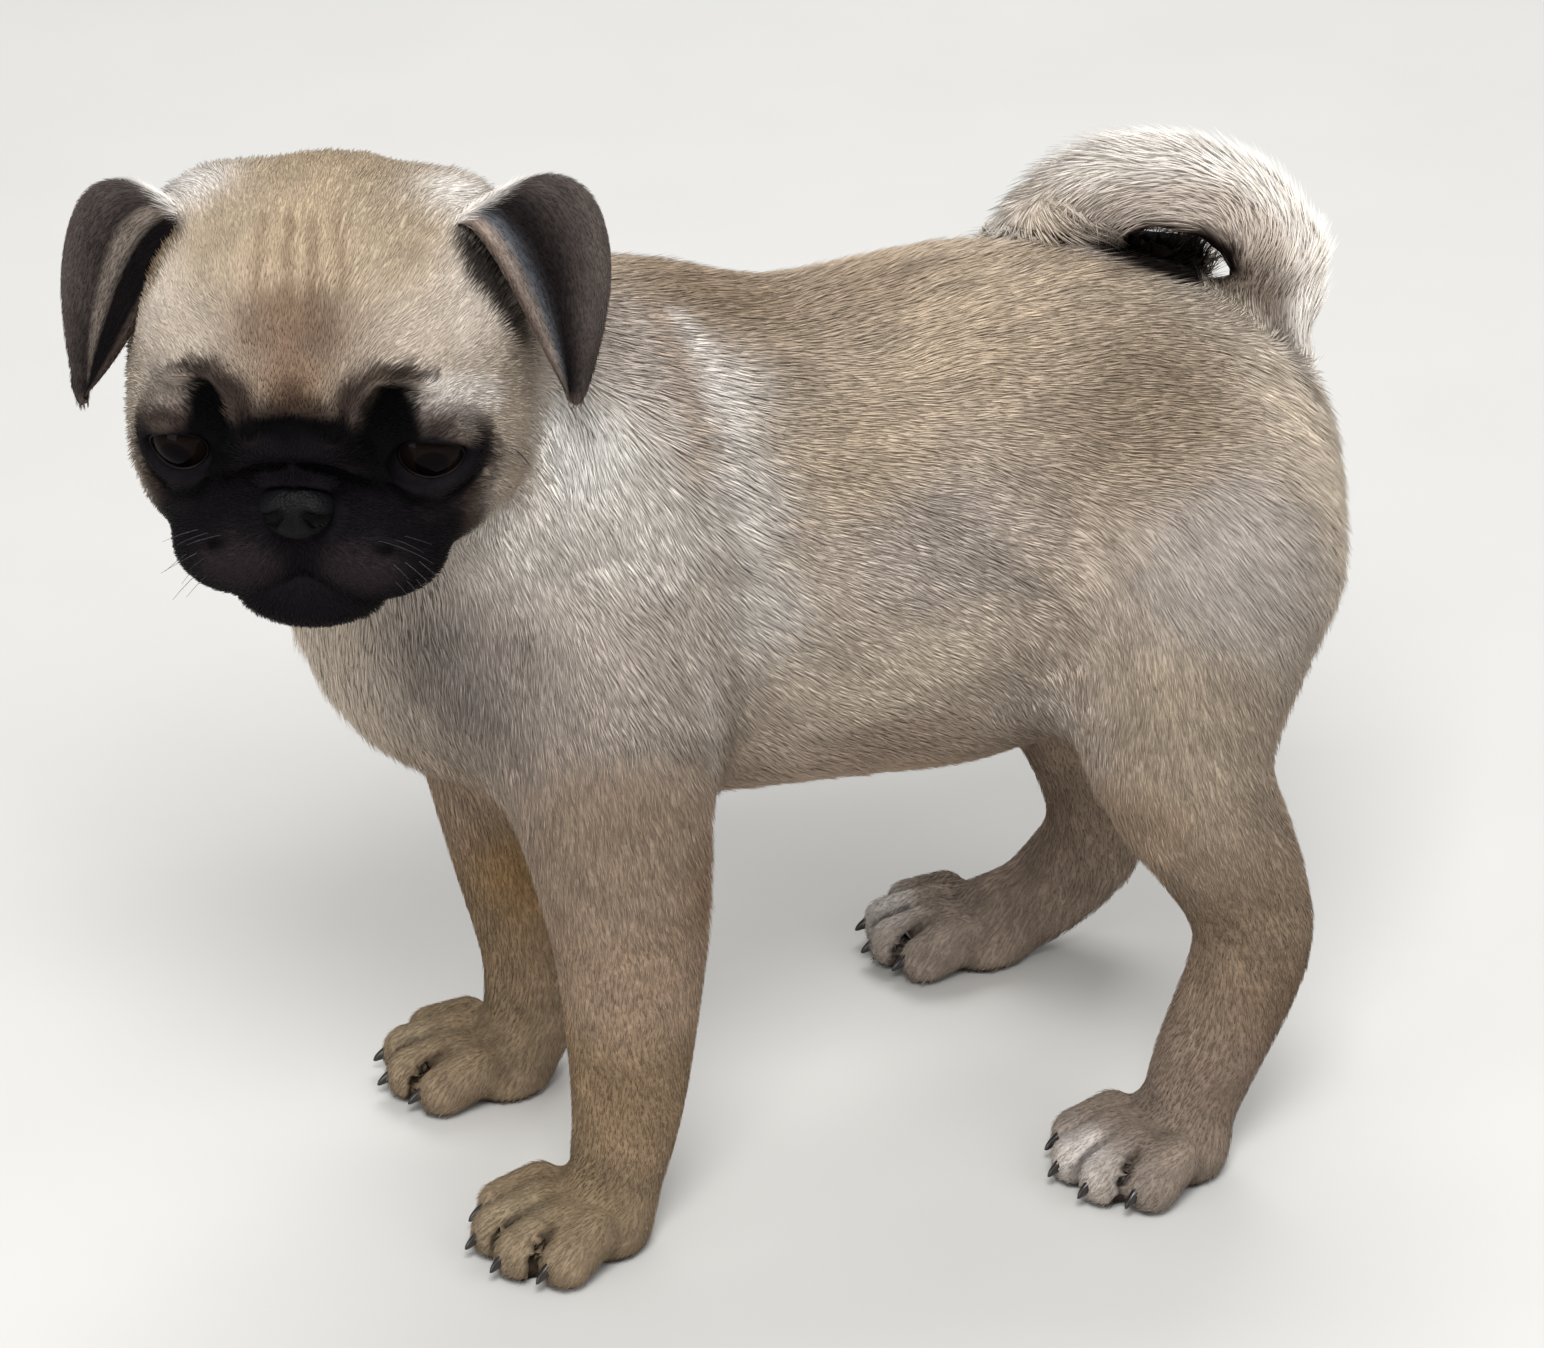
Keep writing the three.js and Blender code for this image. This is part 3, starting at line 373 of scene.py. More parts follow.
# Fur under the curl, and the tail's end turned down behind it
TAIL_FILL = [
    [0, 121, 203, 8.5], [-2, 116, 212, 8.5], [-4, 109, 218, 8.5], [-7, 96, 222.5, 9], [-11, 84, 221, 9],
    [-14, 75, 215, 9],
]
TAIL_END = [[-19, 68, 210, 8], [-20, 80, 205, 8], [-18, 95, 203, 7.5], [-14, 107, 203, 6]]
trunk_form = body([
    *torso_forms,
    *neck_forms,
    *[piece for leg in LEGS.values() for piece in leg_forms(*leg)],
    (within(chain(TAIL_ROWS[:3]), [0, 122, 195], 60), 9),
    (within(head_form, HEAD_CENTRE, 75), 10),
])
torso_form = body(torso_forms)
tail_parts = body([(chain(eased(TAIL_ROWS[2:])), 0), (chain(TAIL_FILL), 3), (chain(TAIL_END), 2)])
tail_free = within(tail_parts, [-8, 100, 215], 75)


def flesh(points):
    """The whole puppy but its ears, out to the tips of the coat."""
    tail = carve(tail_free(points), torso_form(points) - 1.0, 0.5)
    return meet(trunk_form(points), tail, 1.0)


# A closed surface round a form, as near-square faces on a grid whose lines may stand at any spacing
def surface(form, axes, band=6.0, step=4):
    """Looks coarsely first, then at every grid corner within a band of the surface."""
    rough = [np.unique(np.append(a[::step], a[-1])) for a in axes]
    grid = np.stack(np.meshgrid(*rough, indexing="ij"), -1).reshape(-1, 3)
    d = form(grid).reshape([len(a) for a in rough])
    for k in range(3):
        weights = np.array([np.interp(axes[k], rough[k], row) for row in np.eye(len(rough[k]))])
        d = np.moveaxis(np.tensordot(weights, d, axes=(0, k)), 0, k)
    close = np.nonzero(np.abs(d) < band)
    d[close] = form(np.stack([axes[k][close[k]] for k in range(3)], 1))
    inside = d < 0
    corners = [(a, b, c) for a in (0, 1) for b in (0, 1) for c in (0, 1)]
    size = np.array(d.shape) - 1
    count = sum(
        inside[a:a + size[0], b:b + size[1], c:c + size[2]].astype(np.int8) for a, b, c in corners
    )
    cell = np.nonzero((count > 0) & (count < 8))
    number = np.full(size, -1, np.int64)
    number[cell] = np.arange(len(cell[0]))
    total = np.zeros((len(cell[0]), 3))
    hits = np.zeros(len(cell[0]))
    for k in range(3):
        for corner in corners:
            if corner[k]:
                continue
            low = [cell[m] + corner[m] for m in range(3)]
            high = [low[m] + (m == k) for m in range(3)]
            da, db = d[tuple(low)], d[tuple(high)]
            crossed = (da < 0) != (db < 0)
            t = np.where(crossed, da / np.where(crossed, da - db, 1), 0)
            spot = np.stack([axes[m][low[m]] for m in range(3)], 1)
            spot[:, k] += t * (axes[k][high[k]] - axes[k][low[k]])
            total += spot * crossed[:, None]
            hits += crossed
    vertices = total / hits[:, None]
    quads = []
    for k in range(3):
        m, n = (k + 1) % 3, (k + 2) % 3
        low = [slice(None)] * 3
        high = [slice(None)] * 3
        low[k], high[k] = slice(0, -1), slice(1, None)
        first, second = inside[tuple(low)], inside[tuple(high)]
        edge = np.nonzero(first != second)
        around = []
        for dm, dn in ((-1, -1), (0, -1), (0, 0), (-1, 0)):
            at = [e.copy() for e in edge]
            at[m] += dm
            at[n] += dn
            around.append(number[tuple(at)])
        quad = np.stack(around, 1)
        flipped = second[edge]
        quad[flipped] = quad[flipped][:, ::-1]
        quads.append(quad)
    return vertices, np.concatenate(quads)


def vertex_normals(vertices, quads):
    a, b, c, d = (vertices[quads[:, k]] for k in range(4))
    across = np.cross(c - a, d - b)
    total = np.stack([
        np.bincount(quads.ravel(), np.repeat(across[:, k], 4), len(vertices)) for k in range(3)
    ], 1)
    return total / np.maximum(np.linalg.norm(total, axis=1, keepdims=True), 1e-12)


def evened(vertices, quads, share):
    """Moves each vertex part of the way to the middle of its neighbours."""
    ends = np.concatenate([quads[:, [i, (i + 1) % 4]] for i in range(4)])
    degree = np.bincount(ends[:, 0], minlength=len(vertices))
    mean = np.stack([
        np.bincount(ends[:, 0], vertices[ends[:, 1], k], len(vertices)) for k in range(3)
    ], 1) / np.maximum(degree, 1)[:, None]
    return vertices + share * (mean - vertices)


def settled(vertices, quads, form, depth, rounds=4, share=0.35):
    """Evens the faces out and lays every vertex on the form, depth inside it."""
    for _ in range(rounds):
        vertices = evened(vertices, quads, share)
        for _ in range(2):
            off = np.clip(form(vertices) + depth, -1.0, 1.0)
            vertices = vertices - off[:, None] * vertex_normals(vertices, quads)
    return vertices


def flesh_on_floor(points):
    """The paws flatten where they meet the floor."""
    d = flesh(points)
    for groove, soft in [*((form, 1.2) for form in toe_grooves), *((form, 3.0) for form in tendons)]:
        d = carve(d, groove(points), soft)
    return carve(d, points[:, 2], 1.2)


# What the coat is like, told at named places. Between them it changes smoothly.
def linear(code):
    """An sRGB hex colour as linear red, green and blue."""
    values = np.array([int(code[i:i + 2], 16) for i in (1, 3, 5)]) / 255
    return np.where(values <= 0.04045, values / 12.92, ((values + 0.055) / 1.055) ** 2.4)


FAWN = "#c6b39c"
HEAD_FAWN = "#b4a086"
LIGHT_FAWN = "#d0c2b0"
GREY_FAWN = "#c3b6ab"
SADDLE = "#ac9984"
PALE = "#dfd7cf"
CREAM = "#f0eae3"
TAN = "#b39c86"
BROWN = "#987e67"
BELLY = "#b5a18f"
MASK = "#120f12"
MASK_SHEEN = "#2a2325"
MASK_EDGE = "#43352c"
# Painted shadow: near black for the bottoms of the hollows and creases of the face
HOLLOW_SHADOW = "#050405"
BROW = "#856f5c"
LID_BROWN = "#4a3d37"
EAR = "#564d49"
EAR_EDGE_HIGHLIGHT = "#7a706a"
EAR_RIM = "#83776d"
# Painted shadow under and inside the ears, and the ears' own black at their tips
EAR_BLACK_AND_SHADOW = "#0f0b0c"
EAR_STRIP = "#585b60"
EAR_TAN = "#9c8878"
EAR_INSIDE = "#8d7a72"
TAIL_SHADE_INSIDE = "#3d3128"
TAIL_HOLE_SHADOW = "#17110f"
TOE_GAP_SHADE = "#231b17"
FROWN_CREASE_SHADE = "#715e4d"
RING_CREASE_SHADE = "#2b221f"

# Name, place, reach in mm, colour, lie of the coat, length in mm, lift in degrees, piece without its side
BODY_COAT = [
    ("withers", [0, -22, 220], 26, "#a08c76", [0, 1, -0.05], 6.8, 11, "back"),
    ("spine", [4, 18, 216], 15, SADDLE, [0, 1, -0.05], 6.8, 10, "back"),
    ("loin", [4, 66, 214], 20, FAWN, [0, 1, -0.05], 6.8, 10, "back"),
    ("back", [24, 32, 211], 24, FAWN, [0, 1, -0.15], 6.8, 10, "back"),
    ("croup", [40, 72, 194], 24, "#ac9984", [0, 0.95, -0.3], 6.8, 10, "back"),
    ("tail root", [0, 116, 200], 16, FAWN, [0, 0.5, 0.85], 6.8, 14, "rump"),
    ("tail base", [10, 127, 190], 9, CREAM, [0, 0.3, 0.95], 8, 14, "rump"),
    ("rump", [40, 116, 177], 22, "#ddcebb", [0.1, 0.35, -0.94], 6.8, 13, "rump"),
    ("buttock", [18, 137, 150], 22, "#d9cab8", [0, 0.1, -1], 6.8, 14, "rump"),
    ("buttock low", [30, 118, 112], 20, TAN, [0, 0.1, -1], 6, 13, "rump"),
    ("flank high", [45, 4, 195], 22, FAWN, [0, 0.95, -0.3], 6.8, 10, "flank"),
    ("flank", [50, 14, 170], 26, GREY_FAWN, [0, 0.88, -0.46], 6.8, 11, "flank"),
    ("flank low", [52, 9, 145], 24, LIGHT_FAWN, [0, 0.8, -0.55], 6, 12, "flank"),
    ("belly edge", [42, 8, 118], 18, BELLY, [0, 0.8, -0.4], 5.2, 14, "flank"),
    ("belly", [0, 20, 95], 34, TAN, [0, 1, -0.1], 3.5, 14, "flank"),
    ("flank fold", [58, 42, 122], 16, GREY_FAWN, [0.1, 0.4, -0.9], 6, 13, "flank"),
    ("band top", [34, -29, 212], 10, PALE, [0.1, 0.8, -0.5], 7.5, 15, "neck"),
    ("band", [47, -28, 190], 10, PALE, [0.1, 0.7, -0.7], 7.5, 15, "neck"),
    ("band low", [54, -26, 165], 10, PALE, [0.05, 0.7, -0.7], 6.8, 14, "neck"),
    ("shoulder", [50, -52, 188], 15, PALE, [0.1, 0.35, -0.93], 7.5, 14, "neck"),
    ("shoulder low", [58, -52, 158], 20, GREY_FAWN, [0.05, 0.3, -0.95], 6.8, 13, "neck"),
    ("swirl", [43, -64, 207], 14, "#f8f4ef", [0.0, -0.1, -1], 8.2, 21, "neck"),
    ("neck", [27, -42, 222], 16, GREY_FAWN, [0.2, 0.85, -0.45], 7.5, 13, "neck"),
    ("nape", [5, -62, 236], 18, FAWN, [-0.1, 0.9, 0.2], 6.8, 13, "neck"),
    ("neck side", [48, -84, 190], 14, "#e6dfd8", [0.1, 0.2, -1], 7.5, 15, "neck"),
    # painted shade: the side of the chest is darker, as it lies in shade
    ("chest side", [48, -90, 160], 22, "#8b817a", [0.1, 0.15, -1], 6.8, 11, "chest"),
    ("chest", [0, -113, 150], 28, "#d6c8b8", [0, 0.1, -1], 6.8, 13, "chest"),
    ("throat", [14, -118, 172], 16, LIGHT_FAWN, [0, 0.1, -1], 6, 14, "chest"),
    ("breast", [0, -90, 110], 26, BELLY, [0, 0.4, -0.9], 6, 14, "chest"),
    ("upper foreleg", [63, -60, 122], 20, "#958270", [0, 0.12, -1], 5, 8, "foreleg"),
    ("elbow", [50, -36, 102], 14, "#987e67", [0, 0.4, -0.9], 6, 15, "foreleg"),
    ("foreleg", [48, -58, 80], 18, "#9a8470", [0, 0.05, -1], 3.2, 6, "foreleg"),
    ("wrist", [42, -56, 45], 18, "#846f57", [0, 0.05, -1], 2.6, 5, "foreleg"),
    ("inner foreleg", [26, -55, 62], 14, "#8c704e", [0, 0.05, -1], 2.6, 5, "foreleg"),
    ("fore toes", [42, -80, 13], 8, "#867761", [0, -0.8, -0.5], 1.8, 8, "foreleg"),
    ("forepaw", [40, -68, 12], 14, "#786751", [0, -0.8, -0.5], 1.8, 8, "foreleg"),
    ("hip", [66, 84, 164], 22, "#bcb2aa", [0.1, 0.5, -0.86], 6.8, 11, "thigh"),
    ("thigh", [73, 68, 129], 22, "#a19280", [0, 0.2, -0.97], 5, 10, "thigh"),
    ("inner thigh", [30, 80, 105], 20, "#7c634d", [0, 0.2, -0.97], 4, 10, "thigh"),
    ("knee", [66, 64, 104], 14, "#a48f7a", [0, 0.3, -0.95], 5.2, 10, "thigh"),
    # shank and hock: partly their own darker colour, partly painted shade of the hind legs
    ("shank", [64, 88, 70], 16, "#806e5c", [0, 0.3, -0.95], 3.2, 6, "thigh"),
    ("hock", [60, 100, 50], 14, "#756251", [0, 0.1, -1], 2.6, 10, "thigh"),
    ("hind foot", [60, 84, 26], 12, "#7c6b5e", [0, -0.5, -0.85], 2.2, 8, "thigh"),
    ("hind toes", [62, 54, 13], 9, "#c0b8b1", [0, -0.8, -0.5], 1.8, 8, "thigh"),
    ("hind paw", [60, 66, 12], 14, "#75675b", [0, -0.8, -0.5], 1.8, 8, "thigh"),
]
# The same in the head's own frame
HEAD_COAT = [
    ("crown", [0, 8, 38], 20, HEAD_FAWN, [0, 1, 0.1], 4.5, 7, "head"),
    ("forehead", [0, -20, 35], 14, HEAD_FAWN, [0, 0.7, 0.7], 3.1, 7, "head"),
    ("forehead side", [18, -16, 33], 13, "#ad9c85", [0.35, 0.75, 0.55], 3.1, 7, "head"),
    ("ear root", [29, 4, 34], 9, CREAM, [0.7, 0.1, 0.6], 4.9, 15, "head"),
    ("temple", [36, -14, 16], 13, "#d8cbbd", [0.4, 0.8, 0.3], 3.1, 7, "head"),
    ("brow side", [25, -30, 14], 8, "#d4c5b5", [0.75, 0.3, 0.5], 2.8, 9, "face"),
    ("brow", [3, -36, 20], 7, BROW, [0.1, 0.4, 0.9], 2.8, 7, "face"),
    ("frown", [0, -40, 9], 7, BROW, [0, 0.2, 1], 2.1, 7, "face"),
    ("fold", [15, -38, 5], 4, "#5e4e45", [0.5, 0.2, 0.8], 1.8, 7, "face"),
    ("lid", [27, -34, -3], 6, "#8b7e76", [0.6, 0.2, 0.6], 1.5, 8, "face"),
    ("cheek", [42, -8, -6], 15, "#bbac9b", [0.2, 0.9, -0.4], 4.5, 9, "head"),
    ("cheek low", [40, -10, -24], 13, "#b7a694", [0.2, 0.75, -0.6], 5.2, 11, "head"),
    ("jaw", [30, -6, -44], 14, GREY_FAWN, [0.1, 0.6, -0.75], 5.2, 11, "head"),
    ("head side", [42, 16, 8], 20, GREY_FAWN, [0.1, 0.9, -0.35], 4.5, 9, "head"),
    ("head back", [0, 44, 12], 24, FAWN, [0, 0.6, -0.7], 6, 9, "head"),
    ("nose roll", [0, -46, -3], 7, MASK, [0, 0.3, 1], 1.3, 8, "face"),
    ("roll side", [19, -38, -13], 8, MASK, [0.8, 0.4, -0.2], 1.4, 8, "face"),
    ("under eye", [32, -29, -20], 8, MASK, [0.8, 0.5, -0.25], 1.7, 8, "face"),
    ("lip", [16, -44, -32], 11, MASK, [0.75, 0.5, -0.45], 1.5, 7, "face"),
    ("lip side", [28, -28, -32], 10, MASK, [0.5, 0.75, -0.5], 1.8, 7, "face"),
    ("chin", [0, -42, -45], 10, MASK, [0, 0.6, -0.8], 1.8, 7, "face"),
]
TAIL_COAT = [("tail", TAIL_ROWS[i][:3], 13, CREAM, None, 9, 15, "rump") for i in range(1, len(TAIL_ROWS))]
TAIL_TIP_LIE = np.array([0.05, -0.65, -0.75])  # elsewhere the tail's coat lies along it

# Stripes of the body's coat, painted shade along its creases and painted shadow under the tail: rows as x,
# y, z, radius, then colour, strength and softness
MARKS = [
    (chain([[17, -35, 223, 2], [30, -31, 215, 2.5], [41, -29, 204, 3], [48, -29, 192, 3],
            [52, -28, 176, 2.5]]), CREAM, 0.7, 2.0),
    (chain([[50, -58, 216, 3], [42, -56, 208, 4], [46, -61, 201, 4.5], [47, -68, 195, 4],
            [49, -69, 187, 2]]), CREAM, 0.85, 3.0),
    (chain([[12, -40, 226, 3], [31, -39, 217, 3], [41, -38, 206, 3.5], [46, -40, 196, 2]]), TAN, 0.5, 2.5),
    # painted shade along the crease behind the shoulder
    (chain([[53, -31, 171, 0.5], [55, -32, 159, 1], [55, -32, 144, 1.5], [47, -31, 119, 1.5]]),
     "#5a4a3e", 0.65, 2.5),
    (chain([[57, -43, 162, 2], [58, -39, 146, 2.5], [54, -38, 129, 2]]), PALE, 0.5, 2.5),
    # painted shade along the flank's fold in front of the thigh
    (chain([[52, 50, 150, 0.5], [54, 50, 135, 1], [55, 53, 118, 1.5]]), BROWN, 0.5, 3.0),
    (chain([[0, -20, 222, 2], [0, 20, 218, 3], [0, 60, 216, 3], [0, 100, 208, 3]]), SADDLE, 0.6, 4.0),
    # painted shadow: darker brown under the tail's curl, from the back down to its root
    (chain([[7, 76, 213, 2.5], [3, 90, 211, 3], [3, 100, 207, 4.5], [5, 113, 203, 5.5], [11, 118, 198, 5],
            [17, 121, 191, 4], [21, 122, 183, 2]]), "#57463b", 0.85, 3.5),
]


def coat_places():
    """Every named place on the puppy, both sides of it, in the puppy's own frame."""
    places = []
    for rows, on_head in ((BODY_COAT, False), (HEAD_COAT, True)):
        for _, at, reach, colour, lie, *growth in rows:
            for s in (1, -1) if at[0] else (1,):
                spot = np.array(at, float) * [s, 1, 1]
                flow = np.array(lie, float) * [s, 1, 1]
                if on_head:
                    spot, flow = from_head(spot), HEAD_TURN @ flow
                places.append((spot, reach, colour, flow, *growth))
    for i, (_, at, reach, colour, _, *growth) in enumerate(TAIL_COAT, 1):
        last = i == len(TAIL_ROWS) - 1
        flow = TAIL_TIP_LIE if last else np.subtract(TAIL_ROWS[i + 1], TAIL_ROWS[i - 1])[:3]
        places.append((np.array(at, float), reach, colour, flow, *growth))
    return places


def smooth_step(value, low, high):
    t = np.clip((value - low) / (high - low), 0, 1)
    return t * t * (3 - 2 * t)


def mixed(colours, other, amount):
    return colours + amount[:, None] * (other - colours)


def rough_noise(points, size, seed):
    """Smooth random values from -1 to 1 that change over about size millimetres."""
    draw = np.random.default_rng(seed)
    total = np.zeros(len(points))
    for _ in range(6):
        wave = draw.normal(size=3)
        wave *= 2 * math.pi / (size * draw.uniform(0.7, 1.6) * np.linalg.norm(wave))
        total += np.sin(points @ wave + draw.uniform(0, 2 * math.pi))
    return total / 3


# Black mask: muzzle, chin, round each eye and over the nose roll
mask_form = body([
    (ellipsoid([0, -34, -30], [34.5, 31, 22]), 0),
    *both(lambda s: (ellipsoid([s * 27.5, -31, -13.5], [12.5, 14, 9]), 5)),
    (ellipsoid([0, -43, -6], [14, 12, 8.5]), 4),
    *both(lambda s: (ellipsoid([s * 19, -38, -12], [9, 10, 7]), 4)),
    (ellipsoid([0, -32, -44], [24, 18, 10]), 4),
])
hollow_lines, ring_lines, frown_lines = [
    [chain(rows) for rows, _, shade in creases if shade == wanted] for wanted in ("hollow", "ring", "frown")
]
# Painted shadow: the eye hollows and the crease over the nose roll are painted black, wider than they are
# carved
pit_shadows = both(lambda s: chain([[s * 18.8 + 0.5, -38, 3.5, 4.6], [s * 19.2 + 0.5, -37.3, 0, 6.0],
                             [s * 19.2 + 0.5, -37, -4, 6.4], [s * 18, -38, -8, 5.6]]))
pit_shadows += both(lambda s: chain([[0, -44, 1, 2.6], [s * 7, -43, 0.5, 2.4], [s * 12, -42, -3, 3.2],
                              [s * 16, -40, -6, 4]]))
# Shades of the face, among them painted shade and painted light: rows as x, y, z, radius, then colour,
# strength and softness
FACE_MARKS = [
    (chain([[0, -39, 15, 1.5], [0, -41, 9, 2.5]]), "#7a6250", 0.4, 4.0),
    (chain([[0, -41, 6, 2.5], [0, -43, 3, 5]]), "#3a2b22", 0.75, 3.5),
    (chain([[-10, -35, 20, 2], [-8, -38, 17, 3]]), "#7c6a5c", 0.5, 4.0),
    (chain([[6, -35, 22, 2], [6, -38, 17, 3.5]]), "#6e5c50", 0.5, 4.5),
    # Painted shade in four fine wrinkles down the forehead
    (chain([[-9, -16, 36, 0.8], [-8.5, -27, 31, 0.8], [-8, -33, 25, 0.6]]), "#7c6650", 0.5, 1.5),
    (chain([[-3, -18, 36, 0.8], [-2, -28, 31, 1.0], [-1, -35, 24, 0.8]]), "#75604c", 0.55, 1.5),
    (chain([[1.5, -18, 36, 0.6], [3, -28, 31, 1.0], [4, -35, 24, 0.8]]), "#75604c", 0.55, 1.5),
    (chain([[6, -15, 37, 0.8], [9, -26, 31, 0.8], [10, -32, 25, 0.6]]), "#7c6650", 0.5, 1.5),
    *[(chain([[s * 12.6, -40, 5, 3.5], [s * 11.5, -41, -1, 3.5]]), "#3b2f2a", 0.85, 2.5) for s in (1, -1)],
    *[(chain([[s * 23, -34.5, 8.5, 2], [s * 17, -38, 8.8, 2.5]]), "#5b4a40", 0.7, 2.5) for s in (1, -1)],
    # Pale hair over the outer lids, much paler on the dog's left than on its right as painted light
    *[(chain([[s * 27, -33, 4, 2], [s * 33, -27, 1.5, 3], [s * 38, -20, -2, 3]]), "#e6ddd4", strength, 3.0)
      for s, strength in ((1, 0.8), (-1, 0.1))],
    # Painted shade over the dog's right outer lid
    (chain([[-27, -33, 4, 3], [-33, -28, 1, 4]]), "#6b615b", 0.6, 3.5),
    # The dog's right side of the head darker and yellower: partly its own tan, partly painted shade and warm
    # bounce light
    (chain([[-36, -12, 26, 5], [-41, -8, 10, 6]]), "#9c835f", 0.45, 7.0),
    (chain([[23, -37, 1, 2], [28, -34, -1, 3], [34, -28, -4, 2]]), "#6a615c", 0.65, 3.0),
]
lid_shade = [ellipsoid([s * 21, -37, -5], [8, 10, 7]) for s in (1, -1)]
# Painted shadow on the head under each ear flap, darkest near the top
ear_shadows = both(lambda s: chain([[s * 31 + 1.5, -9, 28 + s, 2.4], [s * 35 + 1.5, -10, 21 + s, 4.2],
                                   [s * 40 + 1, -8, 11 + s, 2.4], [s * 43, -2, 2, 0.5]]))
# Painted sheen: the black mask is lighter on the raised lip pads and the ridges under the eyes
sheen_pads = both(lambda s: ellipsoid([s * 13, -42, -32], [9, 7, 6]))
sheen_pads += both(lambda s: chain([[s * 26, -34, -22, 2], [s * 33, -26, -20, 2]]))
mole = ellipsoid([43, -14, -19], [1.4, 1.4, 1.4])  # dark spot on the cheek
tail_middle = np.array([-6.0, 96.0, 206.0])  # middle of the tail's curl
# Painted shadow fills the gap in the tail's curl
tail_hole_shadow = ellipsoid(tail_middle, [13, 22, 9])
tail_chains = body([(chain(rows), 2) for rows in (TAIL_ROWS, TAIL_FILL, TAIL_END)])
wide_tail = within(tail_chains, [-8, 100, 210], 75)
# How the tail's colour goes from outside its curl to inside, as painted shade: code, strength, and from
# where to where
INSIDE_CURL_SHADE = [("#c4b6a9", 0.85, -0.85, -0.2), ("#6b5a4d", 0.8, -0.25, 0.3), (TAIL_SHADE_INSIDE, 1, 0.1, 0.6)]
TWO_SIDED = ["back", "neck", "flank", "thigh", "foreleg"]
HEAD_REACH = 70.0  # everything on the head is nearer to its middle than this
FLANK_LIE = (0.88, 0.46)  # how far the flank's hair runs back and down


def painted(colours, code, form, points, low, high, strength):
    """The colours mixed towards a code inside a form, from none at low to all at high."""
    return mixed(colours, linear(code), strength * smooth_step(-form(points), low, high))


def streaked(colour, points, near_head):
    """Hair gathers in faint streaks along the flank's lie, and in upright ones on the head."""
    upright = rough_noise(to_head(points) * [1, 0.2, 0.2], 5, 14) * near_head
    back, down = FLANK_LIE
    along = points[:, 1] * back - points[:, 2] * down
    over = points[:, 1] * down + points[:, 2] * back
    combed = np.stack([points[:, 0], along * 0.22, over], 1)
    streak = upright * 0.6 + rough_noise(combed, 4.5, 11) + 0.7 * rough_noise(combed, 13, 12)
    return colour * (1 + 0.1 * np.where(near_head, 0.4, 1.0) * streak)[:, None]


def face_shades(colour, local, ragged, near_head):
    """The mask, lids and wrinkles, with painted shadow in the hollows and under the ears and painted shade
    along the rings and creases, and how deep in painted shadow each point lies.
    """
    for shade in ear_shadows:
        colour = painted(colour, EAR_BLACK_AND_SHADOW, shade, local, -3, 1, 0.95 * near_head)
    for lid in lid_shade:
        strength = 0.8 * near_head * smooth_step(-lid(local) + ragged, -4, 3)
        colour = mixed(colour, linear(LID_BROWN), strength)
    outside = mask_form(local) + ragged
    mask = smooth_step(-outside, -1.8, 2.2) * near_head
    sheen = np.max([smooth_step(-pad(local), -3, 3) for pad in sheen_pads], axis=0)
    colour = mixed(colour, linear(MASK_EDGE), 0.8 * near_head * smooth_step(-outside, -5, 0.5))
    colour = mixed(colour, linear(MASK), mask)
    colour = mixed(colour, linear(MASK_SHEEN), 0.75 * mask * sheen)
    unmasked = near_head * (1 - mask)
    for line, code, amount, soft in FACE_MARKS:
        colour = painted(colour, code, line, local, -soft, soft * 0.5, amount * unmasked)
    # Painted shade along the frown and ring creases
    for line in frown_lines:
        colour = painted(colour, FROWN_CREASE_SHADE, line, local, -2.0, 0.2, 0.55 * unmasked)
    for line in ring_lines:
        colour = painted(colour, RING_CREASE_SHADE, line, local, -2.4, 0.3, 0.9 * near_head)
    # Painted shadow in the hollows, and how far each point lies in it
    hollow = [smooth_step(-line(local), -1.9, -0.1) for line in hollow_lines]
    hollow += [smooth_step(-pit(local) + 0.8 * ragged, -3.4, 1.2) for pit in pit_shadows]
    hollow = np.max(hollow, axis=0) * near_head
    colour = mixed(colour, linear(HOLLOW_SHADOW), hollow)
    return painted(colour, MASK, mole, local, -1.2, 0.2, 0.8), hollow


def tail_painted_shade(colour, points, normals):
    """The tail is darker where it faces into its curl, as painted shade. The gap in the curl is painted
    nearly black as its shadow.
    """
    inward = tail_middle - points
    away = np.maximum(np.linalg.norm(inward, axis=1), 1e-9)
    on_tail = smooth_step(-np.abs(wide_tail(points)), -9, -6) * smooth_step(points[:, 2], 200, 210)
    on_tail *= smooth_step(-away, -34, -24)
    toward = np.sum(inward * normals, axis=1) / away
    for code, amount, low, high in INSIDE_CURL_SHADE:
        colour = mixed(colour, linear(code), amount * on_tail * smooth_step(toward, low, high))
    hole_shadow = smooth_step(-tail_hole_shadow(points), -3, 1)
    return mixed(colour, linear(TAIL_HOLE_SHADOW), hole_shadow), hole_shadow


def named_piece(points, nearest):
    """The coat piece of each point: pieces on both sides are told apart by which side they lie on."""
    side = np.where(points[:, 0] < 0, "_right", "_left")
    return np.where(np.isin(nearest, TWO_SIDED), np.char.add(nearest, side), nearest)


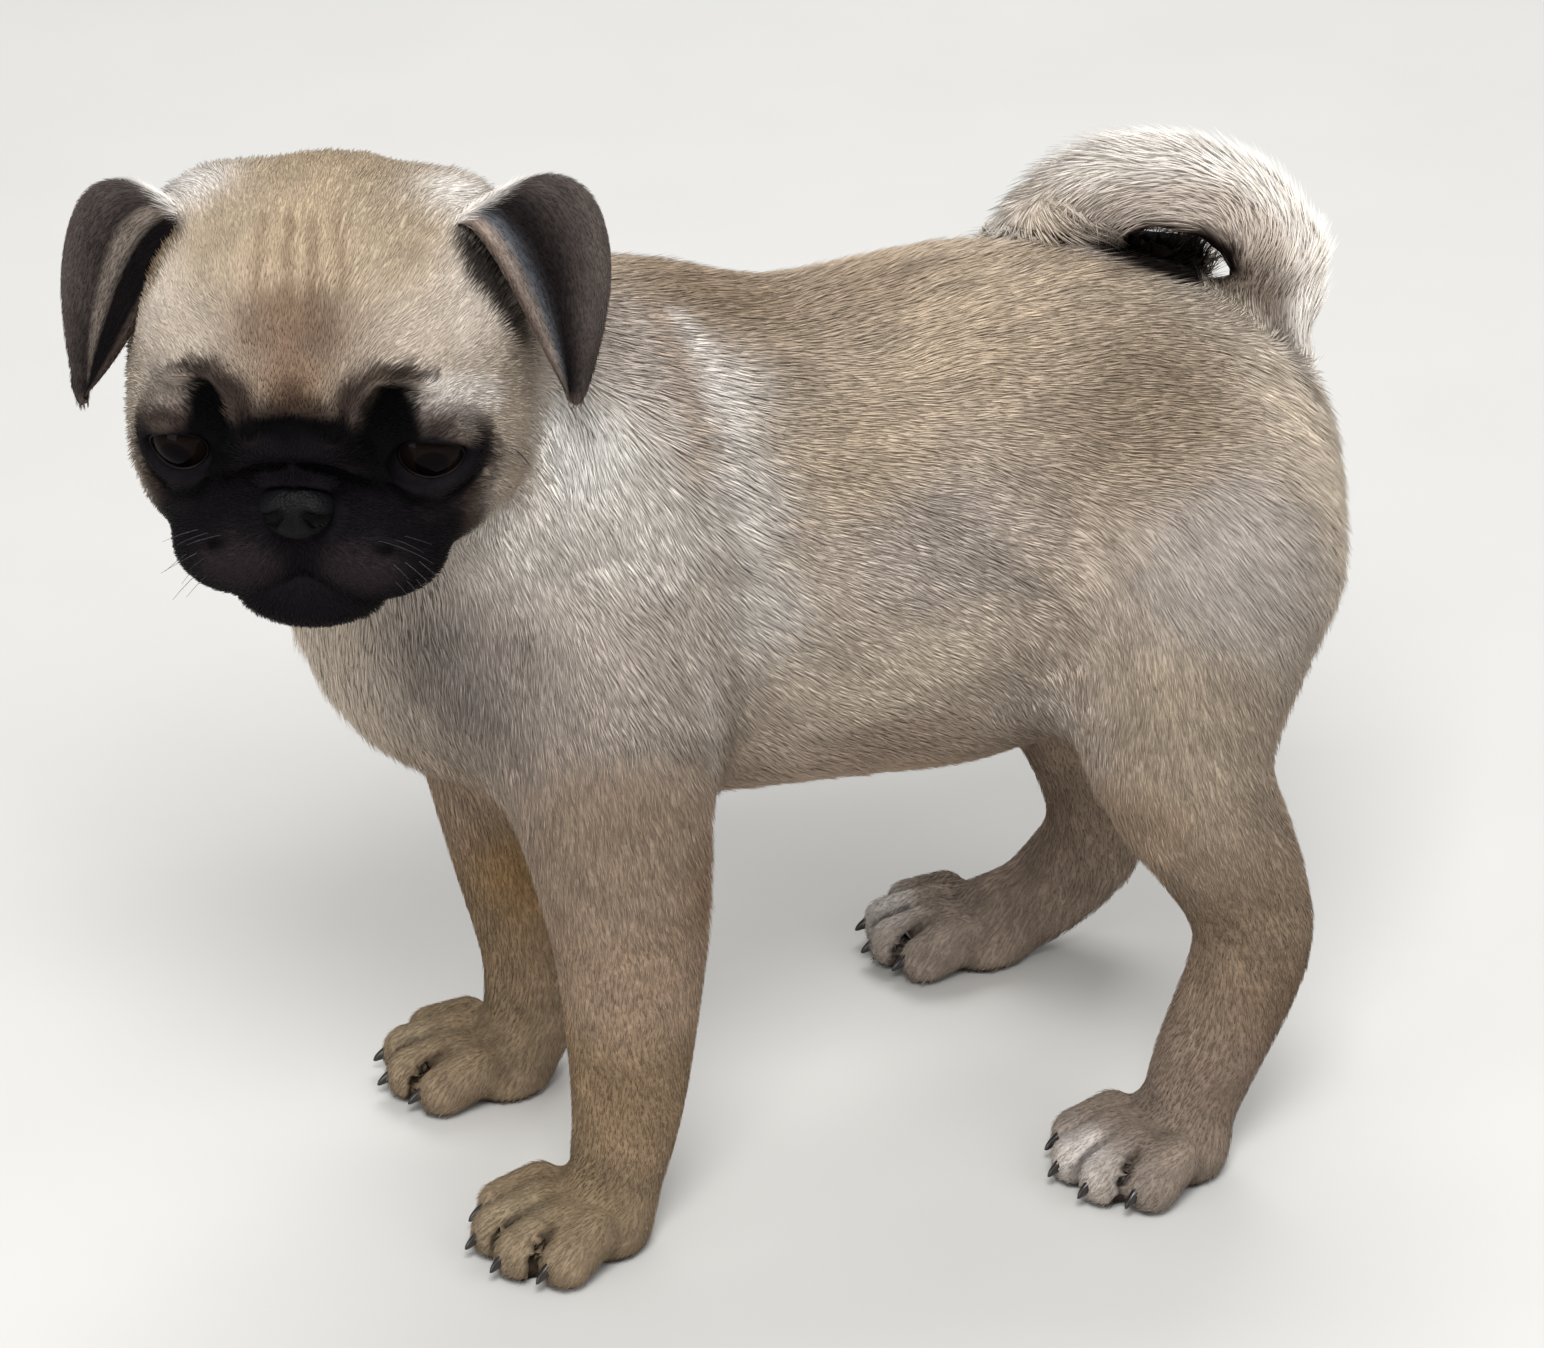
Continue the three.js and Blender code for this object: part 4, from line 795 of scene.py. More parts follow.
def coat_of(points, normals):
    """Colour, lie, length, lift and piece of the coat at each point of the skin."""
    places = coat_places()
    weights = np.stack([
        1 / ((np.linalg.norm(points - at, axis=1) / reach) ** 3.6 + 0.05) for at, reach, *_ in places
    ], 1)
    share = weights / weights.sum(axis=1, keepdims=True)
    colour = share @ np.array([linear(place[2]) for place in places])
    lie = share @ np.array([place[3] / np.linalg.norm(place[3]) for place in places])
    length = share @ np.array([place[4] for place in places], float)
    lift = share @ np.array([place[5] for place in places], float)
    piece = named_piece(points, np.array([place[6] for place in places])[weights.argmax(axis=1)])

    mirrored = np.concatenate([np.abs(points[:, :1]), points[:, 1:]], 1)
    local = to_head(points)
    near_head = np.linalg.norm(local, axis=1) < HEAD_REACH
    ragged = 1.2 * rough_noise(points, 9, 3)
    for line, code, amount, soft in MARKS:
        colour = painted(colour, code, line, mirrored, -soft, soft, amount)
    colour = streaked(colour, points, near_head)
    colour, hollow = face_shades(colour, local, ragged, near_head)
    colour, hole_shadow = tail_painted_shade(colour, points, normals)
    # Painted shade in the furrows between the toes
    groove = np.min([form(points) for form in toe_grooves], axis=0)
    between_toes = smooth_step(-groove, -1.3, 0.2)
    colour = mixed(colour, linear(TOE_GAP_SHADE), 0.9 * between_toes)
    colour = mixed(colour, linear(MASK), 0.9 * smooth_step(-points[:, 2], -3.2, -1.2))

    bare = np.min([form(local) for form in [*openings, lambda p: nose_lump(p) - 0.5]], axis=0)
    cover = np.where(near_head, smooth_step(bare, 0.8, 3.0), 1.0)
    cover *= (1 - 0.6 * hollow) * (1 - 0.7 * hole_shadow) * (1 - 0.9 * between_toes)
    lie += 0.12 * np.stack([rough_noise(points, 16, 20 + k) for k in range(3)], 1)
    lie -= np.sum(lie * normals, axis=1, keepdims=True) * normals
    lie /= np.maximum(np.linalg.norm(lie, axis=1, keepdims=True), 1e-9)
    return {"colour": colour, "lie": lie, "length": length, "lift": lift, "piece": piece, "cover": cover}


# Meshes and nodes
def made_object(name, vertices, faces, material):
    """A smooth mesh whose object sits at the origin, from points in the puppy's own frame."""
    mesh = bpy.data.meshes.new(name)
    mesh.vertices.add(len(vertices))
    mesh.vertices.foreach_set("co", ((np.asarray(vertices) - MIDDLE) * MM).ravel())
    mesh.loops.add(faces.size)
    mesh.loops.foreach_set("vertex_index", faces.ravel())
    mesh.polygons.add(len(faces))
    mesh.polygons.foreach_set("loop_start", np.arange(len(faces)) * faces.shape[1])
    mesh.polygons.foreach_set("use_smooth", np.ones(len(faces), bool))
    mesh.update(calc_edges=True)
    mesh.materials.append(material)
    made = bpy.data.objects.new(name, mesh)
    bpy.context.scene.collection.objects.link(made)
    return made


def tube_faces(rings, sides, start=0):
    """Triangles of a closed tube: its rings of points in order, then the middles of its two ends."""
    number = np.arange(start, start + rings * sides).reshape(rings, sides)
    across = np.roll(number, -1, 1)
    walls = np.stack([number[:-1], across[:-1], across[1:], number[1:]], -1).reshape(-1, 4)
    middle = np.full(sides, start + rings * sides)
    low = np.stack([number[0], middle, across[0]], 1)
    tip = np.stack([number[-1], across[-1], middle + 1], 1)
    return np.concatenate([walls[:, :3], walls[:, [0, 2, 3]], low, tip])


def give(mesh, name, kind, values):
    """Stores one value for each vertex."""
    layer = mesh.attributes.new(name, kind, "POINT")
    field = {"FLOAT": "value", "FLOAT_VECTOR": "vector", "FLOAT_COLOR": "color"}[kind]
    layer.data.foreach_set(field, np.asarray(values, float).ravel())


def give_colour(mesh, colours):
    give(mesh, "coat_colour", "FLOAT_COLOR", np.concatenate([colours, np.ones((len(colours), 1))], 1))


def node(tree, kind, inputs=None, **settings):
    """Adds a node with its settings. Each input is a value or the output it is joined to."""
    made = tree.nodes.new(kind)
    for key, value in settings.items():
        setattr(made, key, value)
    for key, value in (inputs or {}).items():
        if isinstance(value, bpy.types.NodeSocket):
            tree.links.new(value, made.inputs[key])
        else:
            made.inputs[key].default_value = value
    return made


def hexed(code):
    return (*linear(code), 1.0)


def new_material(name):
    material = bpy.data.materials.new(name)
    material.use_nodes = True
    material.node_tree.nodes.clear()
    return material, material.node_tree


def skin_finish():
    """Close undercoat on skin: dull, with hairs too short to stand out, drawn as 0.5 mm grain, and darker
    than the tufts as painted shade beneath them.
    """
    material, tree = new_material("undercoat on skin")
    place = node(tree, "ShaderNodeTexCoord").outputs["Object"]
    colour = node(tree, "ShaderNodeAttribute", attribute_name="coat_colour").outputs["Color"]
    grain = node(tree, "ShaderNodeTexNoise", {"Vector": place, "Scale": 900.0, "Detail": 3.0})
    patch = node(tree, "ShaderNodeTexNoise", {"Vector": place, "Scale": 160.0, "Detail": 2.0})
    # Painted shade: the skin is darkened by up to a quarter in its grain, so the gaps between tufts read as
    # depth
    dark = node(tree, "ShaderNodeMapRange", {
        "Value": grain.outputs["Fac"], "From Min": 0.3, "From Max": 0.7, "To Min": 0.72, "To Max": 1.0,
    })
    dim = node(tree, "ShaderNodeMapRange", {
        "Value": patch.outputs["Fac"], "From Min": 0.3, "From Max": 0.7, "To Min": 0.85, "To Max": 1.1,
    })
    shade = node(tree, "ShaderNodeMath", {0: dark.outputs[0], 1: dim.outputs[0]}, operation="MULTIPLY")
    tint = node(tree, "ShaderNodeVectorMath", {0: colour, "Scale": shade.outputs[0]}, operation="SCALE")
    bump = node(tree, "ShaderNodeBump", {
        "Height": grain.outputs["Fac"], "Strength": 0.5, "Distance": 0.6 * MM,
    })
    shader = node(tree, "ShaderNodeBsdfPrincipled", {
        "Base Color": tint.outputs[0], "Roughness": 0.8, "IOR": 1.1, "Normal": bump.outputs[0],
    })
    node(tree, "ShaderNodeOutputMaterial", {"Surface": shader.outputs[0]})
    return material


def coat_finish():
    """Short straight hair: soft gloss along each tuft, darker at its root, some tufts dark or pale."""
    material, tree = new_material("short straight hair")
    colour = node(tree, "ShaderNodeAttribute", attribute_name="coat_colour").outputs["Color"]
    shade = node(tree, "ShaderNodeAttribute", attribute_name="shade").outputs["Fac"]
    along = node(tree, "ShaderNodeAttribute", attribute_name="along").outputs["Fac"]
    tone = node(tree, "ShaderNodeValToRGB", {"Fac": shade})
    steps = tone.color_ramp.elements
    steps[0].position, steps[0].color = 0.0, (0.55, 0.55, 0.55, 1)
    steps[1].position, steps[1].color = 1.0, (1.3, 1.3, 1.3, 1)
    for position, value in ((0.15, 0.85), (0.5, 1.0), (0.85, 1.12)):
        steps.new(position).color = (value, value, value, 1)
    root = node(tree, "ShaderNodeMapRange", {"Value": along, "To Min": 0.8, "To Max": 1.08})
    both_tones = node(tree, "ShaderNodeMath", {0: tone.outputs["Color"], 1: root.outputs[0]},
                      operation="MULTIPLY")
    tint = node(tree, "ShaderNodeVectorMath", {0: colour, "Scale": both_tones.outputs[0]},
                operation="SCALE")
    shader = node(tree, "ShaderNodeBsdfPrincipled", {
        "Base Color": tint.outputs[0], "Roughness": 0.6, "IOR": 1.15,
    })
    node(tree, "ShaderNodeOutputMaterial", {"Surface": shader.outputs[0]})
    return material


def nose_finish():
    """Nose leather: black, damp, with a pebble of 0.6 mm, and painted shadow deep in the nostrils."""
    material, tree = new_material("damp nose leather")
    place = node(tree, "ShaderNodeTexCoord").outputs["Object"]
    pebble = node(tree, "ShaderNodeTexVoronoi", {"Vector": place, "Scale": 1500.0})
    cloud = node(tree, "ShaderNodeTexNoise", {"Vector": place, "Scale": 250.0, "Detail": 4.0})
    tone = node(tree, "ShaderNodeMix", {
        "Factor": cloud.outputs["Fac"], 6: hexed("#050405"), 7: hexed("#0c0a0c"),
    }, data_type="RGBA")
    # Painted shadow: pure black inside the nostrils
    inside = node(tree, "ShaderNodeAttribute", attribute_name="inside").outputs["Fac"]
    nostril_shadow = node(tree, "ShaderNodeMix", {"Factor": inside, 6: tone.outputs[2], 7: (0, 0, 0, 1)},
                data_type="RGBA")
    wet = node(tree, "ShaderNodeMapRange", {"Value": cloud.outputs["Fac"], "To Min": 0.42, "To Max": 0.62})
    bump = node(tree, "ShaderNodeBump", {
        "Height": pebble.outputs["Distance"], "Strength": 0.6, "Distance": 0.3 * MM,
    }, invert=True)
    shader = node(tree, "ShaderNodeBsdfPrincipled", {
        "Base Color": nostril_shadow.outputs[2], "Roughness": wet.outputs[0], "IOR": 1.17,
        "Normal": bump.outputs[0],
    })
    node(tree, "ShaderNodeOutputMaterial", {"Surface": shader.outputs[0]})
    return material


def claw_finish():
    """Horn: brown black, polished by wear, with faint lengthwise streaks."""
    material, tree = new_material("dark claw horn")
    place = node(tree, "ShaderNodeTexCoord").outputs["Object"]
    streak = node(tree, "ShaderNodeTexNoise", {"Vector": place, "Scale": 700.0, "Detail": 3.0})
    tone = node(tree, "ShaderNodeMix", {
        "Factor": streak.outputs["Fac"], 6: hexed("#0c0a0a"), 7: hexed("#241d1a"),
    }, data_type="RGBA")
    bump = node(tree, "ShaderNodeBump", {
        "Height": streak.outputs["Fac"], "Strength": 0.2, "Distance": 0.2 * MM,
    })
    shader = node(tree, "ShaderNodeBsdfPrincipled", {
        "Base Color": tone.outputs[2], "Roughness": 0.3, "IOR": 1.54, "Normal": bump.outputs[0],
    })
    node(tree, "ShaderNodeOutputMaterial", {"Surface": shader.outputs[0]})
    return material


def eyeball_finish():
    """Eyeball: near-black brown iris round a black pupil, under a thin wet film that mirrors the light."""
    material, tree = new_material("wet dark brown eye")
    angle = node(tree, "ShaderNodeAttribute", attribute_name="from_gaze").outputs["Fac"]
    place = node(tree, "ShaderNodeTexCoord").outputs["Object"]
    spoke = node(tree, "ShaderNodeTexNoise", {"Vector": place, "Scale": 1200.0, "Detail": 3.0})
    tone = node(tree, "ShaderNodeValToRGB", {"Fac": angle})
    steps = tone.color_ramp.elements
    steps[0].position, steps[0].color = 0.0, hexed("#050304")
    steps[1].position, steps[1].color = 1.0, hexed("#0c0a0a")
    for position, code in ((0.24, "#050304"), (0.28, "#0f0907"), (0.55, "#0c0706"), (0.65, "#040303"),
                           (0.78, "#0a0808")):
        steps.new(position).color = hexed(code)
    fleck = node(tree, "ShaderNodeMapRange", {"Value": spoke.outputs["Fac"], "To Min": 0.6, "To Max": 1.4})
    tint = node(tree, "ShaderNodeVectorMath", {0: tone.outputs["Color"], "Scale": fleck.outputs[0]},
                operation="SCALE")
    shader = node(tree, "ShaderNodeBsdfPrincipled", {
        "Base Color": tint.outputs[0], "Roughness": 0.6, "Specular IOR Level": 0.0,
        "Coat Weight": 0.3, "Coat Roughness": 0.05, "Coat IOR": 1.2,
    })
    node(tree, "ShaderNodeOutputMaterial", {"Surface": shader.outputs[0]})
    return material


def lid_finish():
    """Wet rim of the eyelid: bare dark skin, paler on the lower lid where it catches the light."""
    material, tree = new_material("wet lid rim")
    lower = node(tree, "ShaderNodeAttribute", attribute_name="lower").outputs["Fac"]
    tone = node(tree, "ShaderNodeMix", {
        "Factor": lower, 6: hexed("#050404"), 7: hexed("#1d1716"),
    }, data_type="RGBA")
    shader = node(tree, "ShaderNodeBsdfPrincipled", {
        "Base Color": tone.outputs[2], "Roughness": 0.4, "IOR": 1.15,
    })
    node(tree, "ShaderNodeOutputMaterial", {"Surface": shader.outputs[0]})
    return material


def whisker_finish():
    """Whisker: stiff, near black and slightly glossy, a little paler towards its tip."""
    material, tree = new_material("stiff dark whisker")
    along = node(tree, "ShaderNodeAttribute", attribute_name="along").outputs["Fac"]
    tone = node(tree, "ShaderNodeMix", {
        "Factor": along, 6: hexed("#0b0908"), 7: hexed("#1d1815"),
    }, data_type="RGBA")
    shader = node(tree, "ShaderNodeBsdfPrincipled", {"Base Color": tone.outputs[2], "Roughness": 0.35})
    node(tree, "ShaderNodeOutputMaterial", {"Surface": shader.outputs[0]})
    return material


def floor_finish():
    """Matt painted board: pale, with a very faint mottle."""
    material, tree = new_material("matt pale board")
    place = node(tree, "ShaderNodeTexCoord").outputs["Object"]
    cloud = node(tree, "ShaderNodeTexNoise", {"Vector": place, "Scale": 12.0, "Detail": 4.0})
    tone = node(tree, "ShaderNodeMix", {
        "Factor": cloud.outputs["Fac"], 6: hexed("#bab8b4"), 7: hexed("#c0beba"),
    }, data_type="RGBA")
    shader = node(tree, "ShaderNodeBsdfPrincipled", {"Base Color": tone.outputs[2], "Roughness": 0.8})
    node(tree, "ShaderNodeOutputMaterial", {"Surface": shader.outputs[0]})
    return material


# Ears: thin folded sheets with a row of points from the front edge to the back edge at each quarter
EAR_THICKNESS = 1.6
EAR_SHIFT = [2.5, 2.0]  # the left ear is carried wider and higher than the right
EAR_ROWS = np.array([
    [[25, -4, 24], [30, 2, 29], [35, 13, 27], [38, 23, 4]],
    [[31, -9, 41], [49, -3, 50], [60, 12, 48], [53, 29, 20]],
    [[43, -13, 8], [63, -2, 39], [68, 15, 41], [56, 18, 2]],
    [[50, -9, -9], [51.5, -8.5, -13.5], [53, -6.5, -13.5], [54.5, -4.5, -8]],
], float)


def ear_shell(s, across=26, along=42):
    """Both faces of an ear, joined round its rim, with how the coat lies on it.

    u runs from the front edge to the back one, and v from the root to the tip.
    """
    rows = EAR_ROWS * [s, 1, 1] + [EAR_SHIFT[0], 0, s * EAR_SHIFT[1]]
    if s < 0:  # this ear's front edge lies closer to the head, its middle and tip further out
        rows[1:3, 0] += [4.5, -1, 0]
        rows[1, 1:3, 0] -= 4
        rows[2, 1:, 0] -= 2
        rows[3, :, 0] -= 4
    u, v = np.meshgrid(np.linspace(0, 1, across + 1), np.linspace(0, 1, along + 1), indexing="ij")

    def cubic(t):
        return np.stack([(1 - t) ** 3, 3 * t * (1 - t) ** 2, 3 * t * t * (1 - t), t**3], -1)

    def place(u, v):
        return np.einsum("...i,...j,ijk->...k", cubic(v), cubic(u), rows)

    step = 1e-3
    du = place(u + step, v) - place(u - step, v)
    dv = place(u, v + step) - place(u, v - step)
    normal = np.cross(du, dv) * s
    normal /= np.linalg.norm(normal, axis=-1, keepdims=True)
    edge = np.minimum(np.minimum(u, 1 - u), 1 - v) * 4
    half = EAR_THICKNESS / 2 * np.sqrt(np.clip(edge, 0, 1))
    half[:, 0] = EAR_THICKNESS / 2
    wave = 0.4 * np.sin(v * 9 + u * 5) * np.minimum(edge, 1)
    roll = 1.4 * np.exp(-(((u - 0.05) / 0.05) ** 2)) - 1.2 * np.exp(-(((u - 0.2) / 0.09) ** 2))
    wave -= roll * smooth_step(v, 0.05, 0.3)
    number = np.arange(u.size).reshape(u.shape)
    corners = [number[:-1, :-1], number[1:, :-1], number[1:, 1:], number[:-1, 1:]]
    quad = np.stack(corners, -1).reshape(-1, 4)
    vertices, quads, faces = [], [], []
    for face in (1, -1):
        vertices.append((place(u, v) + normal * (face * half + wave)[..., None]).reshape(-1, 3))
        quads.append((quad if face * s > 0 else quad[:, ::-1]) + (0 if face > 0 else u.size))
        faces.append(np.full(u.size, face))
    vertices = np.concatenate(vertices)
    rim = ((u == 0) | (u == 1) | (v == 1) | (v == 0)).ravel()
    first = np.arange(u.size)
    shared = np.concatenate([first, np.where(rim, first, first + u.size)])
    quads = shared[np.concatenate(quads)]
    used, quads = np.unique(quads, return_inverse=True)
    flow = dv.reshape(-1, 3) / np.linalg.norm(dv.reshape(-1, 3), axis=1, keepdims=True)
    flow = np.concatenate([flow, flow])[used] @ HEAD_TURN.T
    u, v, faces = [np.concatenate([a, b])[used] for a, b in ((u.ravel(),) * 2, (v.ravel(),) * 2, faces)]
    return from_head(vertices[used]), quads.reshape(-1, 4), flow, u, v, faces


def ear_coat(s, vertices, flow, u, v, face):
    """Bands along the front edge with painted shadow where it stands off the head, a painted highlight on
    the upper back edge, cream at the root, dark at the tip, paler on the side towards the head.
    """
    colour = np.tile(linear(EAR), (len(u), 1))
    down = smooth_step(v, 0.1, 0.3)
    # Painted highlight: paler towards the back edge of the upper flap
    colour = mixed(colour, linear(EAR_EDGE_HIGHLIGHT), 0.7 * smooth_step(u, 0.4, 0.9) * smooth_step(-v, -0.8, -0.35))
    # Painted shadow: nearly black where the front edge stands off the head, then the rim and the strips
    # beside it
    if s > 0:
        colour = mixed(colour, linear(EAR_BLACK_AND_SHADOW), 0.95 * down * smooth_step(-u, -0.5, -0.16))
        colour = mixed(colour, linear(EAR_STRIP), down * (1 - 0.5 * v) * smooth_step(-u, -0.13, -0.07))
        colour = mixed(colour, linear(EAR_TAN), down * (1 - 0.6 * v) * smooth_step(-u, -0.06, -0.03))
    else:
        colour = mixed(colour, linear(EAR_BLACK_AND_SHADOW), 0.7 * down * smooth_step(-u, -0.55, -0.2))
        colour = mixed(colour, linear(EAR_RIM), down * (1 - 0.4 * v) * smooth_step(-u, -0.23, -0.18))
        colour = mixed(colour, linear(EAR_BLACK_AND_SHADOW), down * smooth_step(-u, -0.17, -0.12))
    colour = mixed(colour, linear(EAR_BLACK_AND_SHADOW), 0.5 * smooth_step(v, 0.8, 1.0))
    colour = mixed(colour, linear(CREAM), smooth_step(-v, -0.26, -0.08))
    colour = mixed(colour, linear(EAR_INSIDE), np.where(face > 0, 0.5, 0.0))
    colour = colour * (1 + 0.15 * rough_noise(vertices, 8, 5)[:, None])
    return {
        "colour": colour, "lie": flow, "length": 1.7 + 3.5 * smooth_step(-v, -0.3, -0.1),
        "lift": np.full(len(u), 8.0), "piece": np.full(len(u), "ears"), "cover": np.ones(len(u)),
    }


# The skin. Its grid is finest over the face, then over the paws
FINE = 0.8
axes = [
    np.arange(-84, 88.1, 1.8),
    np.concatenate([np.arange(-168, -162, 1.5), np.arange(-162, -102, FINE), np.arange(-102, -84, 1.5),
                    np.arange(-84, 146, 2.3)]),
    np.concatenate([np.arange(-3, 30, 1.1), np.arange(30, 180, 2.4), np.arange(180, 240, FINE),
                    np.arange(240, 276, 1.8)]),
]


def coat_rise(coat, vertices):
    """How far the tips of most tufts stand off the skin, which they don't under the paws."""
    rise = 0.85 * coat["length"] * np.sin(np.radians(coat["lift"]))
    return rise * smooth_step(vertices[:, 2], 0.3, 6)


vertices, quads = surface(flesh_on_floor, axes)
vertices = settled(vertices, quads, flesh_on_floor, 0.0, rounds=2)
coat = coat_of(vertices, vertex_normals(vertices, quads))
vertices = settled(vertices, quads, flesh_on_floor, coat_rise(coat, vertices), rounds=3)
coat = coat_of(vertices, vertex_normals(vertices, quads))
for s in (1, -1):
    shell, ear_quads, flow, u, v, face = ear_shell(s)
    extra = ear_coat(s, shell, flow, u, v, face)
    quads = np.concatenate([quads, ear_quads + len(vertices)])
    vertices = np.concatenate([vertices, shell])
    coat = {key: np.concatenate([coat[key], extra[key]]) for key in coat}

undercoat = skin_finish()
hair = coat_finish()
skin = made_object("skin", vertices, quads, undercoat)
give_colour(skin.data, coat["colour"])

# Unwrapped by its own shape, each island by the way it faces
bpy.context.view_layer.objects.active = skin
skin.select_set(True)
bpy.ops.object.mode_set(mode="EDIT")
bpy.ops.mesh.select_all(action="SELECT")
bpy.ops.uv.smart_project(angle_limit=math.radians(75), island_margin=0.001)
bpy.ops.object.mode_set(mode="OBJECT")
skin.data.uv_layers[0].name = "OFBake"
skin.data.uv_layers.active = skin.data.uv_layers["OFBake"]

# Tufts: width in mm, how many on a square millimetre, how much their tone varies and how far they clump
TUFTS = {
    "face": (0.2, 3.4, 0.3, 0.25),
    "head": (0.23, 2.05, 0.4, 0.3),
    "neck_left": (0.33, 1.6, 0.65, 0.5),
    "neck_right": (0.36, 1.25, 0.65, 0.5),
    "chest": (0.33, 1.05, 0.5, 0.45),
    "back_left": (0.31, 1.55, 0.6, 0.4),
    "back_right": (0.34, 1.25, 0.6, 0.4),
    "flank_left": (0.31, 1.55, 0.55, 0.4),
    "flank_right": (0.34, 1.25, 0.55, 0.4),
    "rump": (0.33, 1.1, 0.6, 0.4),
    "thigh_left": (0.27, 1.15, 0.3, 0.2),
    "thigh_right": (0.27, 1.05, 0.3, 0.2),
    "foreleg_left": (0.23, 1.3, 0.2, 0.12),
    "foreleg_right": (0.23, 1.15, 0.2, 0.12),
    "ears": (0.22, 1.7, 0.4, 0.15),
}
STRAY = 0.08  # how far every tuft turns off the lie on its own
# One tuft: a thin spike, one high, widest at two fifths, with how far along it each point lies
TUFT_POINTS = [(0, 0, 0), (0.32, 0, 0.38), (0.04, 0.5, 0.42), (0.04, -0.5, 0.42), (0.05, 0, 1)]
TUFT_FACES = [(0, 2, 1), (0, 1, 3), (0, 3, 2), (4, 1, 2), (4, 3, 1), (4, 2, 3)]
TUFT_ALONG = [0, 0.38, 0.42, 0.42, 1]
TUFT_PATCH = np.array([(0.5, 0), (0.5, 0.4), (1, 0.4), (0, 0.4), (0.5, 1)]) * 0.003  # on the UV map


def tuft_tree(tuft, material):
    """Scatters the tuft over a skin and turns it to the lie of the coat."""
    tree = bpy.data.node_groups.new("tufts along the lie", "GeometryNodeTree")
    sockets = {"Skin": "Geometry", "Seed": "Int", "Clump": "Float", "Stray": "Float", "Tone": "Float"}
    for name, kind in sockets.items():
        tree.interface.new_socket(name, in_out="INPUT", socket_type="NodeSocket" + kind)
    tree.interface.new_socket("Coat", in_out="OUTPUT", socket_type="NodeSocketGeometry")
    start = node(tree, "NodeGroupInput")
    stored = {**dict.fromkeys(("lie", "OFBake"), "FLOAT_VECTOR"),
              **dict.fromkeys(("length", "width", "rise", "density"), "FLOAT")}
    read = {
        name: node(tree, "GeometryNodeInputNamedAttribute", {"Name": name}, data_type=kind).outputs[0]
        for name, kind in stored.items()
    }
    spread = node(tree, "GeometryNodeDistributePointsOnFaces", {
        "Mesh": start.outputs["Skin"], "Density": read["density"], "Seed": start.outputs["Seed"],
    })
    place = node(tree, "GeometryNodeInputPosition").outputs[0]
    clump = node(tree, "ShaderNodeTexNoise", {"Vector": place, "Scale": 160.0, "Detail": 1.0})
    middle = node(tree, "ShaderNodeVectorMath", {0: clump.outputs["Color"], 1: (0.5, 0.5, 0.5)},
                  operation="SUBTRACT")
    own = node(tree, "FunctionNodeRandomValue", {0: (-1, -1, -1), 1: (1, 1, 1)}, data_type="FLOAT_VECTOR")
    total = read["lie"]
    for share, amount in (
        (spread.outputs["Normal"], read["rise"]),
        (middle.outputs[0], start.outputs["Clump"]),
        (own.outputs[0], start.outputs["Stray"]),
    ):
        share = node(tree, "ShaderNodeVectorMath", {0: share, "Scale": amount}, operation="SCALE")
        added = node(tree, "ShaderNodeVectorMath", {0: total, 1: share.outputs[0]}, operation="ADD")
        total = added.outputs[0]
    aim = node(tree, "FunctionNodeAxesToRotation", {
        "Primary Axis": total, "Secondary Axis": spread.outputs["Normal"],
    }, primary_axis="Z", secondary_axis="X")
    index = node(tree, "GeometryNodeInputIndex").outputs[0]
    size = node(tree, "FunctionNodeRandomValue", {2: 0.7, 3: 1.25, "ID": index})
    scale = node(tree, "ShaderNodeCombineXYZ", {0: read["width"], 1: read["width"], 2: read["length"]})
    grown = node(tree, "ShaderNodeVectorMath", {0: scale.outputs[0], "Scale": size.outputs[1]},
                 operation="SCALE")
    tone = node(tree, "FunctionNodeRandomValue", {2: -0.5, 3: 0.5, "Seed": 7})
    milder = node(tree, "ShaderNodeMath", {0: tone.outputs[1], 1: start.outputs["Tone"], 2: 0.5},
                  operation="MULTIPLY_ADD")
    points = spread.outputs["Points"]
    for name, kind, value in (
        ("root_uv", "FLOAT_VECTOR", read["OFBake"]),
        ("shade", "FLOAT", milder.outputs[0]),
    ):
        points = node(tree, "GeometryNodeStoreNamedAttribute", {
            "Geometry": points, "Name": name, "Value": value,
        }, data_type=kind, domain="POINT").outputs[0]
    shape = node(tree, "GeometryNodeObjectInfo", {"Object": tuft})
    placed = node(tree, "GeometryNodeInstanceOnPoints", {
        "Points": points, "Instance": shape.outputs["Geometry"],
        "Rotation": aim.outputs[0], "Scale": grown.outputs[0],
    })
    real = node(tree, "GeometryNodeRealizeInstances", {"Geometry": placed.outputs[0]})
    coloured = node(tree, "GeometryNodeSetMaterial", {"Geometry": real.outputs[0], "Material": material})
    node(tree, "NodeGroupOutput", {"Coat": coloured.outputs[0]})
    return tree


